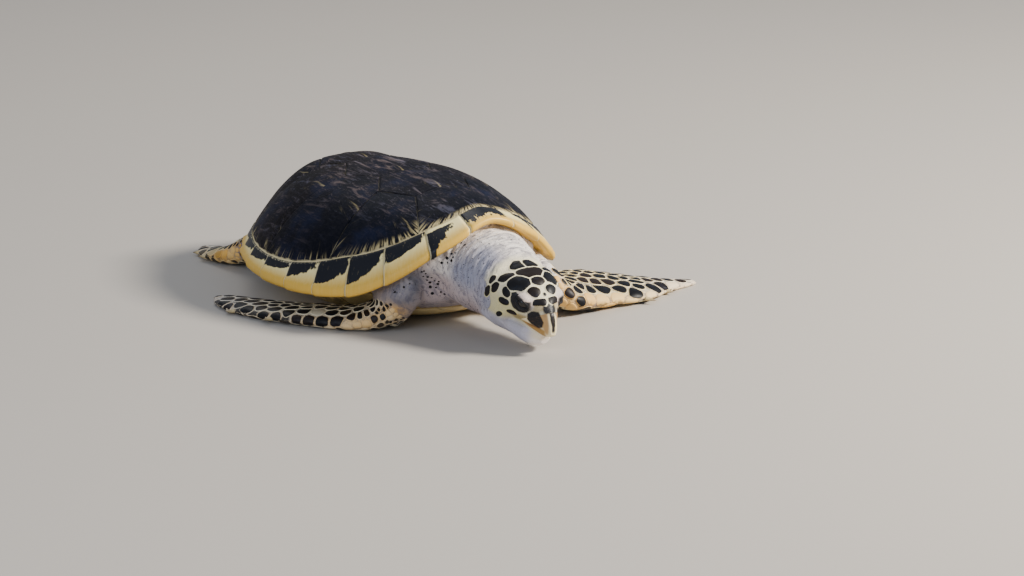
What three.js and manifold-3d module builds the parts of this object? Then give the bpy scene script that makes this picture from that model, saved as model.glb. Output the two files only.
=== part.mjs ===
// A life-size hawksbill sea turtle (Eretmochelys imbricata), a half-grown animal resting on its plastron
// with its head lowered, the right front flipper swept back and the left one spread. Millimetres, +Z up.
// +X is forward and +Y is the animal's left. The origin is on the floor under the middle of the shell.
import * as THREE from "three";
import { mergeVertices } from "three/addons/utils/BufferGeometryUtils.js";
import Module from "manifold-3d";

const wasm = await Module();
wasm.setup();

// ---------------------------------------------------------------- driving dimensions

const shellLength = 480;
const halfLength = shellLength / 2;
const halfWidth = 0.385 * shellLength;
const domeTop = 0.336 * shellLength;
const domeInside = 0.2 * shellLength; // height of the shell's underside at its middle
const rimThickness = 6;
const plateRise = 1.3; // height of a scute's front edge above its groove
const plateOverlap = 1.5; // how much higher a scute stands at its rear edge
const plateSink = 5.5;
const grooveWidth = 1.8;
const plastronThickness = 9;
const gap = 0.3;
const deg = Math.PI / 180;

// ---------------------------------------------------------------- helpers

const vec = (p) => new THREE.Vector3(...p);
const mix = (a, b, t) => a + (b - a) * t;
const ease = (t) => t * t * (3 - 2 * t);
const clamp = (t) => Math.min(1, Math.max(0, t));

// A smooth curve through [position, value] pairs, level before the first and after the last.
function profile(...pairs) {
  const slope = (i) =>
    i === 0 || i === pairs.length - 1
      ? 0
      : (pairs[i + 1][1] - pairs[i - 1][1]) / (pairs[i + 1][0] - pairs[i - 1][0]);
  return (position) => {
    if (position <= pairs[0][0]) return pairs[0][1];
    if (position >= pairs.at(-1)[0]) return pairs.at(-1)[1];
    const i = pairs.findIndex((pair) => pair[0] > position) - 1;
    const span = pairs[i + 1][0] - pairs[i][0];
    const t = (position - pairs[i][0]) / span;
    const bow = t * (1 - t) * span * ((1 - t) * slope(i) - t * slope(i + 1));
    return mix(pairs[i][1], pairs[i + 1][1], ease(t)) + bow;
  };
}

// A manifold-3d solid from a closed three.js geometry, whichever way its faces point.
function solid(geometry) {
  geometry.deleteAttribute("normal");
  geometry.deleteAttribute("uv");
  const merged = mergeVertices(geometry, 1e-3);
  const vertProperties = merged.attributes.position.array;
  const triVerts = new Uint32Array(merged.index.array);
  const made = new wasm.Manifold(new wasm.Mesh({ numProp: 3, vertProperties, triVerts }));
  if (made.volume() > 0) return made;
  const turned = triVerts.map((v, i) => triVerts[i - (i % 3) + [0, 2, 1][i % 3]]);
  return new wasm.Manifold(new wasm.Mesh({ numProp: 3, vertProperties, triVerts: turned }));
}

// A closed body of rings: row 0 and the last row are points, and place(column, row) gives each vertex.
function rings(columns, rows, place) {
  const geometry = new THREE.SphereGeometry(1, columns, rows - 1);
  const positions = geometry.attributes.position;
  for (let row = 0; row < rows; row++)
    for (let column = 0; column <= columns; column++) {
      const p = place(column % columns, row);
      positions.setXYZ(row * (columns + 1) + column, p.x, p.y, p.z);
    }
  return solid(geometry);
}

// The largest closed piece of a solid.
const largest = (made) => made.decompose().sort((a, b) => b.volume() - a.volume())[0];

// A solid's surface as a three.js geometry with smooth normals.
function surfaceOf(made) {
  const { numProp, numVert, vertProperties, triVerts } = made.getMesh();
  const positions = new Float32Array(numVert * 3);
  for (let i = 0; i < numVert; i++)
    positions.set(vertProperties.subarray(i * numProp, i * numProp + 3), i * 3);
  const geometry = new THREE.BufferGeometry();
  geometry.setAttribute("position", new THREE.BufferAttribute(positions, 3));
  geometry.setIndex(new THREE.BufferAttribute(triVerts, 1));
  geometry.computeVertexNormals();
  return geometry;
}

// A solid swollen by the gap along each axis, to cut its neighbours with.
function grown(made) {
  const steps = [gap, -gap].flatMap((step) => [[step, 0, 0], [0, step, 0], [0, 0, step]]);
  return wasm.Manifold.union([made, ...steps.map((step) => made.translate(step))]);
}

const cutBy = (made, cutters) => cutters.reduce((left, cutter) => left.subtract(cutter), made);
const onFloor = (made) => made.trimByPlane([0, 0, 1], 0);
const joined = (solids) => wasm.Manifold.union(solids);

const turtle = new THREE.Group();
const colours = {
  horn: { color: 0x1d1713, roughness: 0.35, metalness: 0 },
  plate: { color: 0xe3c168, roughness: 0.45, metalness: 0 },
  skin: { color: 0xcfc4bd, roughness: 0.6, metalness: 0 },
  scaled: { color: 0x2c2622, roughness: 0.5, metalness: 0 },
  beak: { color: 0xd9b266, roughness: 0.4, metalness: 0 },
  eye: { color: 0x0d0b0b, roughness: 0.08, metalness: 0 },
};
const materials = Object.fromEntries(
  Object.entries(colours).map(([name, look]) => [name, new THREE.MeshStandardMaterial(look)]),
);

// Adds a solid to the turtle as a named mesh.
function add(name, made, material) {
  const piece = largest(made);
  const mesh = new THREE.Mesh(surfaceOf(piece), materials[material]);
  mesh.name = name;
  turtle.add(mesh);
  return piece;
}

// ---------------------------------------------------------------- the shell's form

const nuchalNotch = 7;
const rimHeight = profile([0, 146], [20, 119], [40, 77], [56, 54], [90, 44], [130, 45], [180, 40]);

// The shell's edge in plan, at an angle in degrees from the nose end, left positive.
function rim(angle) {
  const c = Math.cos(angle * deg);
  const notch = nuchalNotch * Math.exp(-((angle / 9) ** 2));
  const breadth = 1 + 0.05 * c - 0.06 * c * c;
  const length = halfLength * Math.sign(c) * Math.abs(c) ** 0.94;
  return new THREE.Vector2(length - notch, halfWidth * Math.sin(angle * deg) * breadth);
}

// A place on the shell in plan as {angle, share}, share being 0 at the middle and 1 at the rim.
function shellPlace(x, y) {
  let angle = Math.atan2(y / halfWidth, x / halfLength) / deg;
  for (let i = 0; i < 8; i++) {
    const edge = rim(angle);
    const turn = Math.atan2(y, x) - Math.atan2(edge.y, edge.x);
    angle += Math.atan2(Math.sin(turn), Math.cos(turn)) / deg;
  }
  return { angle, share: Math.hypot(x, y) / rim(angle).length() };
}

// Where the marginal scutes start at an angle, as a share of the way to the rim.
const marginStart = profile([0, 0.86], [55, 0.875], [72, 0.91], [90, 0.935], [130, 0.93], [160, 0.89],
  [180, 0.87]);
const keelHeight = 3;
const keelWidth = 14;

// How far out the dome stays high before it falls to the rim.
const fullness = profile([0, 3], [50, 2.9], [90, 2.7], [135, 2.9], [160, 4], [180, 3.6]);

function domeHeight(angle, share, y) {
  const edge = rimHeight(Math.abs(angle));
  const rise = Math.max(0, 1 - share ** fullness(Math.abs(angle))) ** 0.9;
  const keel = keelHeight * Math.exp(-Math.abs(y) / keelWidth) * rise;
  return mix(edge, domeTop, rise) + keel - Math.max(0, share - 1) * 60;
}

// A point on the dome at (x, y), moved out from the surface by lift.
function domePoint(x, y, lift) {
  const height = (px, py) => {
    const { angle, share } = shellPlace(px, py);
    return domeHeight(angle, share, py);
  };
  const step = 1;
  const z = height(x, y);
  const normal = new THREE.Vector3(
    (height(x - step, y) - height(x + step, y)) / (2 * step),
    (height(x, y - step) - height(x, y + step)) / (2 * step),
    1,
  ).normalize();
  return new THREE.Vector3(x, y, z).addScaledVector(normal, lift);
}

// The underside of the carapace, from the rim's lower edge to the middle.
const vaultHeight = (angle, share) =>
  mix(domeInside, rimHeight(Math.abs(angle)) - rimThickness, share);

function carapaceBody() {
  const columns = 44;
  const over = [0, 0.42, 0.7, 0.88, 0.985, 1];
  const under = [0.985, 0];
  const rows = over.length + under.length;
  return rings(columns, rows, (column, row) => {
    const angle = mix(-180, 180, column / columns);
    const isOver = row < over.length;
    const share = isOver ? over[row] : under[row - over.length];
    const edge = rim(angle).multiplyScalar(share);
    const top = share === 1 ? rimHeight(Math.abs(angle)) - 2 : domeHeight(angle, share, edge.y);
    const z = isOver ? top : vaultHeight(angle, share);
    return new THREE.Vector3(edge.x, edge.y, z);
  });
}

// The room under the shell, up to just inside its underside.
function vaultSpace() {
  const columns = 44;
  const shares = [0, 0.985, 0.985, 0];
  return rings(columns, shares.length, (column, row) => {
    const angle = mix(-180, 180, column / columns);
    const edge = rim(angle).multiplyScalar(shares[row]);
    return new THREE.Vector3(edge.x, edge.y, row < 2 ? vaultHeight(angle, shares[row]) + 0.5 : -50);
  });
}

// ---------------------------------------------------------------- scutes

// Splits each edge of an outline so that no part is longer than step.
function divided(corners, step) {
  return corners.flatMap((corner, i) => {
    const next = corners[(i + 1) % corners.length];
    const parts = Math.max(1, Math.ceil(corner.distanceTo(next) / step));
    return Array.from({ length: parts }, (_, k) => corner.clone().lerp(next, k / parts));
  });
}

// A raised plate on a surface. outline is in the surface's own plane, and place(x, y, lift) puts a point
// on it.
function plate(outline, shares, place, lift, sink, overlap) {
  const middle = outline
    .reduce((sum, p) => sum.add(p), new THREE.Vector2())
    .divideScalar(outline.length);
  const front = Math.max(...outline.map((p) => p.x));
  const back = Math.min(...outline.map((p) => p.x));
  const rows = [...shares, ...shares.toReversed()];
  return rings(outline.length, rows.length, (column, row) => {
    const reach = outline[column].clone().sub(middle);
    const inset = 1 - grooveWidth / 2 / reach.length();
    const p = reach.multiplyScalar(rows[row] * inset).add(middle);
    const rise = lift + overlap * ((front - p.x) / (front - back));
    return place(p.x, p.y, row < shares.length ? rise : -sink);
  });
}

// Points along the line where the marginal scutes start, or along the rim.
function alongEdge(from, to, steps, share) {
  return Array.from({ length: steps + 1 }, (_, i) => {
    const angle = mix(from, to, i / steps);
    const folded = Math.abs(((angle + 540) % 360) - 180);
    return rim(angle).multiplyScalar(share ?? marginStart(folded));
  });
}
const at = (x, y) => new THREE.Vector2(x * shellLength, y * shellLength);
const mirrored = (outline) => outline.map((p) => new THREE.Vector2(p.x, -p.y)).reverse();

// Degrees along the band where each costal begins, and the last ends.
const costalSeams = [28, 65, 97, 126, 151];
const spineSeams = [at(0.25, 0.083), at(0.062, 0.079), at(-0.125, 0.071), at(-0.302, 0.046)];
const spineCorners = [at(0.145, 0.132), at(-0.031, 0.129), at(-0.208, 0.108)];
const marginalSeams = [10, 25.5, 42, 56, 69, 82, 95, 108, 121, 135, 149, 164, 180];

function largeScutes() {
  const [bandStart, ...rest] = costalSeams;
  const bandEnd = rest.at(-1);
  const first = [...alongEdge(-bandStart, bandStart, 6), spineSeams[0], ...mirrored([spineSeams[0]])];
  const middles = spineCorners.map((corner, i) => {
    const side = [spineSeams[i], corner, spineSeams[i + 1]];
    return [...side, ...mirrored(side)];
  });
  const tail = spineSeams.at(-1);
  const last = [tail, ...alongEdge(bandEnd, 360 - bandEnd, 6), ...mirrored([tail])];
  const costals = rest.map((end, i) => [
    ...alongEdge(costalSeams[i], end, 3),
    ...(i < 3 ? [spineCorners[i]] : []),
    spineSeams[i],
    ...(i > 0 ? [spineCorners[i - 1]] : []),
  ]);
  return [first, ...middles, last, ...costals, ...costals.map(mirrored)];
}

function marginalScutes() {
  const serration = profile([56, 0], [95, 0.004], [149, 0.02], [172, 0.012], [180, 0.004]);
  const left = marginalSeams.slice(1).map((end, i) => {
    const start = marginalSeams[i];
    const outer = alongEdge(end, start, 2, 1.004);
    outer[0].multiplyScalar(1 + serration(end));
    return [...alongEdge(start, end, 2), ...outer];
  });
  const nuchal = [...alongEdge(-marginalSeams[0], marginalSeams[0], 2), ...alongEdge(10, -10, 2, 1.004)];
  return [nuchal, ...left, ...left.map(mirrored)];
}

function carapace() {
  const large = largeScutes().map((corners) =>
    plate(divided(corners, 50), [0, 0.5, 1], domePoint, plateRise, plateSink, plateOverlap),
  );
  const marginals = marginalScutes().map((corners) =>
    plate(divided(corners, 38), [0, 1], domePoint, plateRise, plateSink, plateOverlap),
  );
  return carapaceBody().add(joined([...large, ...marginals]).subtract(vaultSpace()));
}

// ---------------------------------------------------------------- plastron

const plastronReach = profile([0, 0.41], [24, 0.385], [40, 0.31], [56, 0.325], [90, 0.325], [118, 0.315],
  [138, 0.29], [160, 0.36], [180, 0.385]);
const plastronLift = profile([0, 30], [30, 30], [50, 44], [120, 44], [145, 16], [180, 9]);
const bridgeShare = (angle) => ease(clamp((46 - Math.abs(Math.abs(angle) - 88)) / 18));
const flatShare = 0.62; // the flat middle the animal lies on, as a share of the way to the plastron's edge
const plastronRise = 1.2;

function plastronEdge(angle) {
  const reach = plastronReach(Math.abs(angle)) * shellLength;
  return new THREE.Vector2(Math.cos(angle * deg), Math.sin(angle * deg)).multiplyScalar(reach);
}

// Height of the plastron's lower face; at the bridge its edge meets the shell's underside.
function plastronFloor(angle, share) {
  const edge = plastronEdge(angle);
  const place = shellPlace(edge.x, edge.y);
  const bridge = vaultHeight(place.angle, place.share) - plastronThickness - gap - plastronRise;
  const lift = mix(plastronLift(Math.abs(angle)), bridge, bridgeShare(angle));
  return plastronRise + lift * clamp((share - flatShare) / (1 - flatShare)) ** 1.6;
}

function plastronBody() {
  const columns = 36;
  const under = [0, flatShare, 0.78, 0.9, 1];
  const over = [1, 0.8, 0.62, 0];
  return rings(columns, under.length + over.length, (column, row) => {
    const angle = mix(-180, 180, column / columns);
    const isOver = row >= under.length;
    const share = isOver ? over[row - under.length] : under[row];
    const edge = plastronEdge(angle).multiplyScalar(share);
    const z = plastronFloor(angle, share) + (isOver ? plastronThickness : 0);
    return new THREE.Vector3(edge.x, edge.y, z);
  });
}

function plastronPoint(x, y, lift) {
  const angle = Math.atan2(y, x) / deg;
  const share = Math.hypot(x, y) / plastronEdge(angle).length();
  return new THREE.Vector3(x, y, plastronFloor(angle, share) - lift);
}

// Plates run in pairs between seams, each from a place on the midline to an angle on the edge. The pair in
// the middle is one plate, so that the animal lies on a flat face over the origin.
const plastronSeams = [[0.4, 2], [0.33, 14], [0.23, 34], [0.08, 62], [-0.08, 106], [-0.22, 142],
  [-0.37, 177]];
const restingPair = 3;

function plastronPlates() {
  const edgeAt = (angle) => plastronEdge(angle).multiplyScalar(0.95);
  const outlines = plastronSeams.slice(1).flatMap(([middle, angle], i) => {
    const [middleBefore, angleBefore] = plastronSeams[i];
    const outer = [0, 0.5, 1].map((t) => edgeAt(mix(angleBefore, angle, t)));
    if (i === restingPair) return [[...outer, ...mirrored(outer)]];
    const left = [at(middleBefore, 0), ...outer, at(middle, 0)];
    return [left, mirrored(left)];
  });
  return outlines.map((outline) =>
    plate(divided(outline, 64), [0, 0.6, 1], plastronPoint, plastronRise, plateSink, 0),
  );
}

// ---------------------------------------------------------------- torso

const openness = (angle) => 1 - bridgeShare(angle);
const shoulderReach = profile([0, 0.95], [20, 0.92], [36, 0.72], [56, 0.64], [75, 0.7], [120, 0.66],
  [150, 0.6], [180, 0.76]);

// The flesh between the two halves of the shell, with a skin that bulges out of the front and rear
// openings. It is cut back by both halves.
function torso() {
  const columns = 32;
  const overlap = 3;
  const inner = 0.3;
  return rings(columns, 9, (column, row) => {
    const angle = mix(-180, 180, column / columns);
    const open = openness(angle);
    const low = plastronEdge(angle);
    const lowPlace = shellPlace(low.x, low.y);
    const edge = rim(lowPlace.angle);
    const topShare = mix(lowPlace.share * 0.9, 0.95, open);
    const lowShare = mix(0.88, 0.94, open);
    const lowZ = (share) => plastronFloor(angle, share) + plastronThickness - overlap;
    const topZ = (share) => vaultHeight(lowPlace.angle, share) + overlap;
    const topEdge = new THREE.Vector3(edge.x * topShare, edge.y * topShare, topZ(topShare));
    const lowEdge = new THREE.Vector3(low.x * lowShare, low.y * lowShare, lowZ(lowShare));
    const bulge = mix(topShare, shoulderReach(Math.abs(angle)), open);
    const side = new THREE.Vector3(edge.x * bulge, edge.y * bulge, mix(lowEdge.z, topEdge.z, 0.55));
    const outward = new THREE.Vector3(edge.x, edge.y, 0).multiplyScalar(open);
    const atRow = [
      () => new THREE.Vector3(0, 0, topZ(0)),
      () => new THREE.Vector3(edge.x * inner, edge.y * inner, topZ(inner)),
      () => new THREE.Vector3(edge.x * topShare * 0.75, edge.y * topShare * 0.75, topZ(topShare * 0.75)),
      () => topEdge,
      () => topEdge.clone().lerp(side, 0.5).addScaledVector(outward, 0.02),
      () => side,
      () => side.clone().lerp(lowEdge, 0.6).addScaledVector(outward, 0.03),
      () => lowEdge,
      () => new THREE.Vector3(0, 0, lowZ(0)),
    ];
    return atRow[row]();
  });
}

// ---------------------------------------------------------------- limbs, neck and tail

// A limb along two edges. Each station is [lead, trail, thickness above, thickness below].
function limb(stations, rows, columns) {
  const lead = new THREE.CatmullRomCurve3(stations.map((s) => vec(s[0])));
  const trail = new THREE.CatmullRomCurve3(stations.map((s) => vec(s[1])));
  const last = stations.length - 1;
  const above = profile(...stations.map((s, i) => [i / last, s[2]]));
  const below = profile(...stations.map((s, i) => [i / last, s[3]]));
  return rings(columns, rows, (column, row) => {
    const t = clamp((row - 1) / (rows - 3));
    const front = lead.getPoint(t);
    const rear = trail.getPoint(t);
    const middle = front.clone().lerp(rear, 0.5);
    if (row === 0 || row === rows - 1) return middle;
    const chord = front.clone().sub(rear).multiplyScalar(0.5);
    const along = lead.getTangent(t).add(trail.getTangent(t));
    const up = new THREE.Vector3().crossVectors(along, chord).normalize();
    if (up.z < 0) up.negate();
    const turn = (column / columns) * 2 * Math.PI;
    const across = Math.cos(turn);
    const height = Math.sin(turn) * (1 + 0.3 * across);
    const thickness = height > 0 ? above(t) : below(t);
    return middle.addScaledVector(chord, across).addScaledVector(up, height * thickness);
  });
}

// A round limb along a path. Each station is [centre, half width, half height].
function tube(stations, rows, columns) {
  const path = new THREE.CatmullRomCurve3(stations.map((s) => vec(s[0])));
  const last = stations.length - 1;
  const wide = profile(...stations.map((s, i) => [i / last, s[1]]));
  const high = profile(...stations.map((s, i) => [i / last, s[2]]));
  return rings(columns, rows, (column, row) => {
    const t = clamp((row - 1) / (rows - 3));
    const centre = path.getPoint(t);
    if (row === 0 || row === rows - 1) return centre;
    const along = path.getTangent(t);
    const side = new THREE.Vector3().crossVectors(new THREE.Vector3(0, 0, 1), along).normalize();
    const up = new THREE.Vector3().crossVectors(along, side).normalize();
    const turn = (column / columns) * 2 * Math.PI;
    return centre
      .addScaledVector(side, Math.cos(turn) * wide(t))
      .addScaledVector(up, Math.sin(turn) * high(t));
  });
}

const frontLimbs = {
  right: [
    [[178, -58, 76], [100, -66, 72], 28, 28],
    [[197, -88, 56], [108, -92, 52], 26, 25],
    [[178, -108, 24], [104, -86, 24], 18, 18],
    [[152, -142, 11], [84, -98, 12], 12.5, 11],
    [[106, -180, 8], [46, -124, 8], 9.5, 8],
    [[48, -214, 6], [2, -156, 6], 7, 6],
    [[-10, -234, 4.5], [-36, -180, 5], 5, 4.5],
    [[-56, -234, 3.5], [-68, -196, 4], 3.5, 3.5],
    [[-80, -222, 3], [-82, -212, 3], 2, 2],
  ],
  left: [
    [[176, 62, 80], [106, 66, 74], 28, 28],
    [[217, 88, 52], [134, 93, 49], 25, 23],
    [[242, 118, 21], [148, 118, 34], 17, 17],
    [[241, 150, 13], [140, 148, 31], 13, 13],
    [[237, 190, 9], [135, 186, 28], 10, 10],
    [[238, 236, 7], [146, 232, 19], 8, 8],
    [[217, 280, 5], [164, 278, 10], 6, 5.5],
    [[206, 316, 4], [178, 318, 4], 4.5, 4],
    [[201, 338, 3.5], [192, 338, 3.5], 2.5, 2.5],
  ],
};

const hindLimbs = {
  right: [
    [[-140, -112, 46], [-152, -58, 46], 22, 22],
    [[-176, -130, 30], [-190, -66, 30], 18, 18],
    [[-212, -140, 14], [-222, -72, 14], 13, 12],
    [[-252, -146, 7], [-256, -80, 6], 7, 7],
    [[-286, -138, 4], [-282, -92, 4], 4, 4],
    [[-304, -122, 3.5], [-300, -108, 3.5], 2.5, 2.5],
  ],
};
hindLimbs.left = hindLimbs.right.map(([lead, trail, ...thickness]) => [
  [lead[0] + 6, -lead[1], lead[2]],
  [trail[0] + 6, -trail[1], trail[2]],
  ...thickness,
]);

// Claws on each limb's leading edge: [share of the way to the limb's tip, length].
const frontClaws = [[0.62, 10], [0.75, 7]];
const hindClaws = [[0.6, 7], [0.78, 5]];
const clawRadius = 3;

function claw(stations, [share, length]) {
  const lead = new THREE.CatmullRomCurve3(stations.map((s) => vec(s[0])));
  const trail = new THREE.CatmullRomCurve3(stations.map((s) => vec(s[1])));
  const root = lead.getPoint(share);
  const outward = root.clone().sub(trail.getPoint(share)).normalize();
  const direction = outward.add(lead.getTangent(share)).normalize();
  const cone = new THREE.ConeGeometry(clawRadius, length + 4, 6);
  const turn = new THREE.Quaternion().setFromUnitVectors(new THREE.Vector3(0, 1, 0), direction);
  cone.translate(0, length / 2 - 2, 0).applyQuaternion(turn).translate(root.x, root.y, root.z);
  return solid(cone);
}

const tail = [
  [[-170, 0, 40], 20, 16],
  [[-215, 0, 26], 13, 11],
  [[-245, 3, 12], 8, 8],
  [[-268, 8, 5], 4, 5],
];

const headMiddle = vec([317, 7, 57]);
const headTurn = -2;
const headPitch = 22;

const neck = [
  [[150, 0, 92], 66, 42],
  [[200, 1, 88], 62, 46],
  [[240, 3, 77], 55, 49],
  [[268, 5, 65], 49, 47],
  [[292, 6, 56], 45, 43],
  [[315, 8, 48], 40, 38],
];

// ---------------------------------------------------------------- head

// The head's own frame has +X to the tip of the beak, and headPlace carries it to its place on the neck.
const headPlace = new THREE.Matrix4()
  .makeTranslation(headMiddle.x, headMiddle.y, headMiddle.z)
  .multiply(new THREE.Matrix4().makeRotationZ(headTurn * deg))
  .multiply(new THREE.Matrix4().makeRotationY(headPitch * deg));
const inPlace = (made) => made.transform(headPlace.elements);

const skull = {
  wide: profile([-50, 39], [-40, 43], [-25, 44], [-10, 40], [2, 34], [14, 28], [25, 20], [36, 12.5],
    [45, 7.5], [50, 6], [53, 3.5]),
  top: profile([-50, 27], [-36, 31], [-21, 32.5], [-5, 33], [5, 31], [14, 27.5], [26, 21.5], [36, 16],
    [44, 9], [50, 0], [53, -8]),
  low: profile([-50, -34], [-25, -38], [-8, -37], [3, -20], [14, -19], [25, -21.5], [36, -21.5],
    [46, -17.5], [53, -12]),
};
const jaw = {
  wide: profile([-20, 36], [0, 31], [12, 26], [24, 19.5], [33, 12.5], [39, 6]),
  top: profile([-20, -14], [39, -14]),
  low: profile([-20, -45], [8, -46], [20, -45], [31, -42], [39, -34]),
};
const roundness = 0.88;

// A loft along X from profiles of half width, top and bottom.
function loft(shape, from, to, rows, columns) {
  return rings(columns, rows, (column, row) => {
    const t = clamp((row - 1) / (rows - 3));
    const x = mix(from, to, Math.sin((t * Math.PI) / 2) * 0.35 + t * 0.65);
    const top = shape.top(x);
    const low = shape.low(x);
    const middle = mix(low, top, 0.5);
    if (row === 0 || row === rows - 1) return new THREE.Vector3(x, 0, middle);
    const turn = (column / columns) * 2 * Math.PI;
    const full = (value) => Math.sign(value) * Math.abs(value) ** roundness;
    const y = full(Math.cos(turn)) * shape.wide(x);
    return new THREE.Vector3(x, y, middle + (full(Math.sin(turn)) * (top - low)) / 2);
  });
}

const skullForm = loft(skull, -50, 53, 17, 24);

const ball = (radius, centre, columns = 20, rows = 12, stretch = [1, 1, 1]) =>
  solid(
    new THREE.SphereGeometry(radius, columns, rows)
      .scale(...stretch)
      .translate(...centre),
  );

const eyeRadius = 10.5;
const lidThickness = 1.6;
const eyeCentre = (side) => [10, side * 21.5, 13];
const sides = { left: 1, right: -1 };

// Half of the space, above or below the plane through a point across a direction.
const inFront = (made, point, normal) => made.trimByPlane(normal.toArray(), normal.dot(point));
const behind = (made, point, normal) =>
  made.trimByPlane(normal.clone().negate().toArray(), gap - normal.dot(point));

const beakBack = vec([41, 0, 14.5]);
const beakNormal = new THREE.Vector3(34, 0, -38).normalize();

// Points on the top and on one side of the skull, moved out from the surface by lift.
const bulge = (reach) => (1 - Math.min(0.98, Math.abs(reach)) ** (2 / roundness)) ** (roundness / 2);
const halfHeight = (x) => (skull.top(x) - skull.low(x)) / 2;
const middleHeight = (x) => (skull.top(x) + skull.low(x)) / 2;
const crownHeight = (x, y) => middleHeight(x) + bulge(y / skull.wide(x)) * halfHeight(x);
const cheekReach = (x, z) => bulge((z - middleHeight(x)) / halfHeight(x)) * skull.wide(x);

function crownPoint(x, y, lift) {
  const slopeX = crownHeight(x + 1, y) - crownHeight(x - 1, y);
  const slopeY = crownHeight(x, y + 1) - crownHeight(x, y - 1);
  const out = new THREE.Vector3(-slopeX / 2, -slopeY / 2, 1).normalize();
  return new THREE.Vector3(x, y, crownHeight(x, y)).addScaledVector(out, lift);
}
const cheekPoint = (side) => (x, z, lift) => {
  const slopeX = cheekReach(x + 1, z) - cheekReach(x - 1, z);
  const slopeZ = cheekReach(x, z + 1) - cheekReach(x, z - 1);
  const out = new THREE.Vector3(-slopeX / 2, 1, -slopeZ / 2).normalize();
  const p = new THREE.Vector3(x, cheekReach(x, z), z).addScaledVector(out, lift);
  return p.setY(p.y * side);
};

// The head's shields, in outline as seen from above. Those off the midline have a mirrored twin.
const shieldRise = 0.9;
const shieldSink = 3;
const corners = (points) => points.map(([x, y]) => new THREE.Vector2(x, y));
const oneSided = (half) => [...corners(half), ...mirrored(corners(half))];
const frontal = oneSided([[4.2, 1], [2, 5.5], [-1.5, 8], [-6, 7], [-9, 3]]);
const frontoparietal = oneSided([[-10, 3], [-11.5, 8], [-14, 13], [-19, 17], [-24.5, 18.5], [-29, 11]]);
const frontPrefrontal = [[20, 17.5], [19.8, 13], [21.3, 7.5], [22.6, 1.4], [28, 1], [31, 5], [26.5, 13.5]];
const rearPrefrontal = [[6, 18.5], [4.7, 12.5], [6.7, 6.2], [10.3, 3.4], [15.5, 4], [19.2, 11], [13, 19]];
const supraocular = [[-16, 34], [-20.5, 26], [-15.5, 14], [-7, 10.5], [1, 12.5], [3.8, 19], [-2, 28],
  [-8.5, 34]];
const parietal = [[-30, 38], [-34, 33.5], [-32, 28], [-26, 20.5], [-22, 20.5], [-22, 28.5], [-22, 34]];
const occipital = [[-40.5, 17], [-43.5, 11], [-43.5, 2], [-39, 0.6], [-31, 1.6], [-31, 13], [-36, 18.5]];
const pairedShields = [frontPrefrontal, rearPrefrontal, supraocular, parietal, occipital].map(corners);

// Cheek shields behind the eye: [x, z, half length, half height] seen from the side.
const cheekShields = [[-28, 11.5, 5.5, 7], [-9.5, 16, 6.5, 5.5], [-8, 4, 7, 4.5], [-8, -15.5, 5, 5],
  [3, -5.5, 6, 4.5]];

function headShields() {
  const crown = [frontal, frontoparietal, ...pairedShields, ...pairedShields.map(mirrored)];
  const onCrown = crown.map((outline) =>
    plate(divided(outline, 18), [0, 1], crownPoint, shieldRise, shieldSink, 0),
  );
  const onCheeks = Object.values(sides).flatMap((side) =>
    cheekShields.map(([x, z, long, high]) => {
      const oval = Array.from({ length: 6 }, (_, i) => {
        const turn = ((i + 0.5) / 6) * 2 * Math.PI;
        return new THREE.Vector2(x + Math.cos(turn) * long, z + Math.sin(turn) * high);
      });
      return plate(oval, [0, 1], cheekPoint(side), shieldRise, shieldSink, 0);
    }),
  );
  return joined([...onCrown, ...onCheeks]);
}

function cranium() {
  let made = behind(skullForm.add(headShields()), beakBack, beakNormal);
  for (const side of Object.values(sides)) {
    const [x, y, z] = eyeCentre(side);
    const lids = ball(eyeRadius + lidThickness, [x, y, z], 16, 10);
    const opening = ball(8.5, [x + 1, y + side * 11, z - 2], 14, 8, [1, 1, 0.42]);
    const nostril = ball(2.2, [36, side * 4, 16.5], 8, 6);
    made = cutBy(made.add(lids), [ball(eyeRadius + gap, [x, y, z], 16, 10), opening, nostril]);
  }
  return made;
}

// ---------------------------------------------------------------- putting it together

const shell = add("carapace", carapace(), "horn");
const shellRoom = grown(shell);
const lowered = shell.translate([0, 0, -1.2 * gap]); // the shell's underside is nearly level
const plates = joined([plastronBody(), ...plastronPlates()]);
const belly = add("plastron", onFloor(plates.subtract(lowered)), "plate");
const bellyRoom = grown(belly);
const body = add("torso", cutBy(torso(), [lowered, bellyRoom]), "skin");
const trunkRoom = [shellRoom, bellyRoom, grown(body)];

const napePoint = vec([296, 14, 70]);
const napeNormal = new THREE.Vector3(Math.cos(15 * deg), 0, Math.sin(15 * deg));
const neckEnd = behind(tube(neck, 12, 28), napePoint, napeNormal);
const nape = add("neck", cutBy(neckEnd, trunkRoom), "skin");
const napeRoom = grown(nape);
add("head", inFront(inPlace(cranium()), napePoint, napeNormal), "scaled");
const beak = inPlace(inFront(skullForm, beakBack, beakNormal));
add("upper_beak", inFront(beak, napePoint, napeNormal), "beak");
const lowerJaw = inPlace(loft(jaw, -20, 39, 10, 20).subtract(skullForm.translate([0, 0, -gap])));
add("lower_jaw", inFront(lowerJaw, napePoint, napeNormal), "beak");
for (const [name, side] of Object.entries(sides))
  add("eye_" + name, inPlace(ball(eyeRadius, eyeCentre(side), 16, 10)), "eye");

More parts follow.
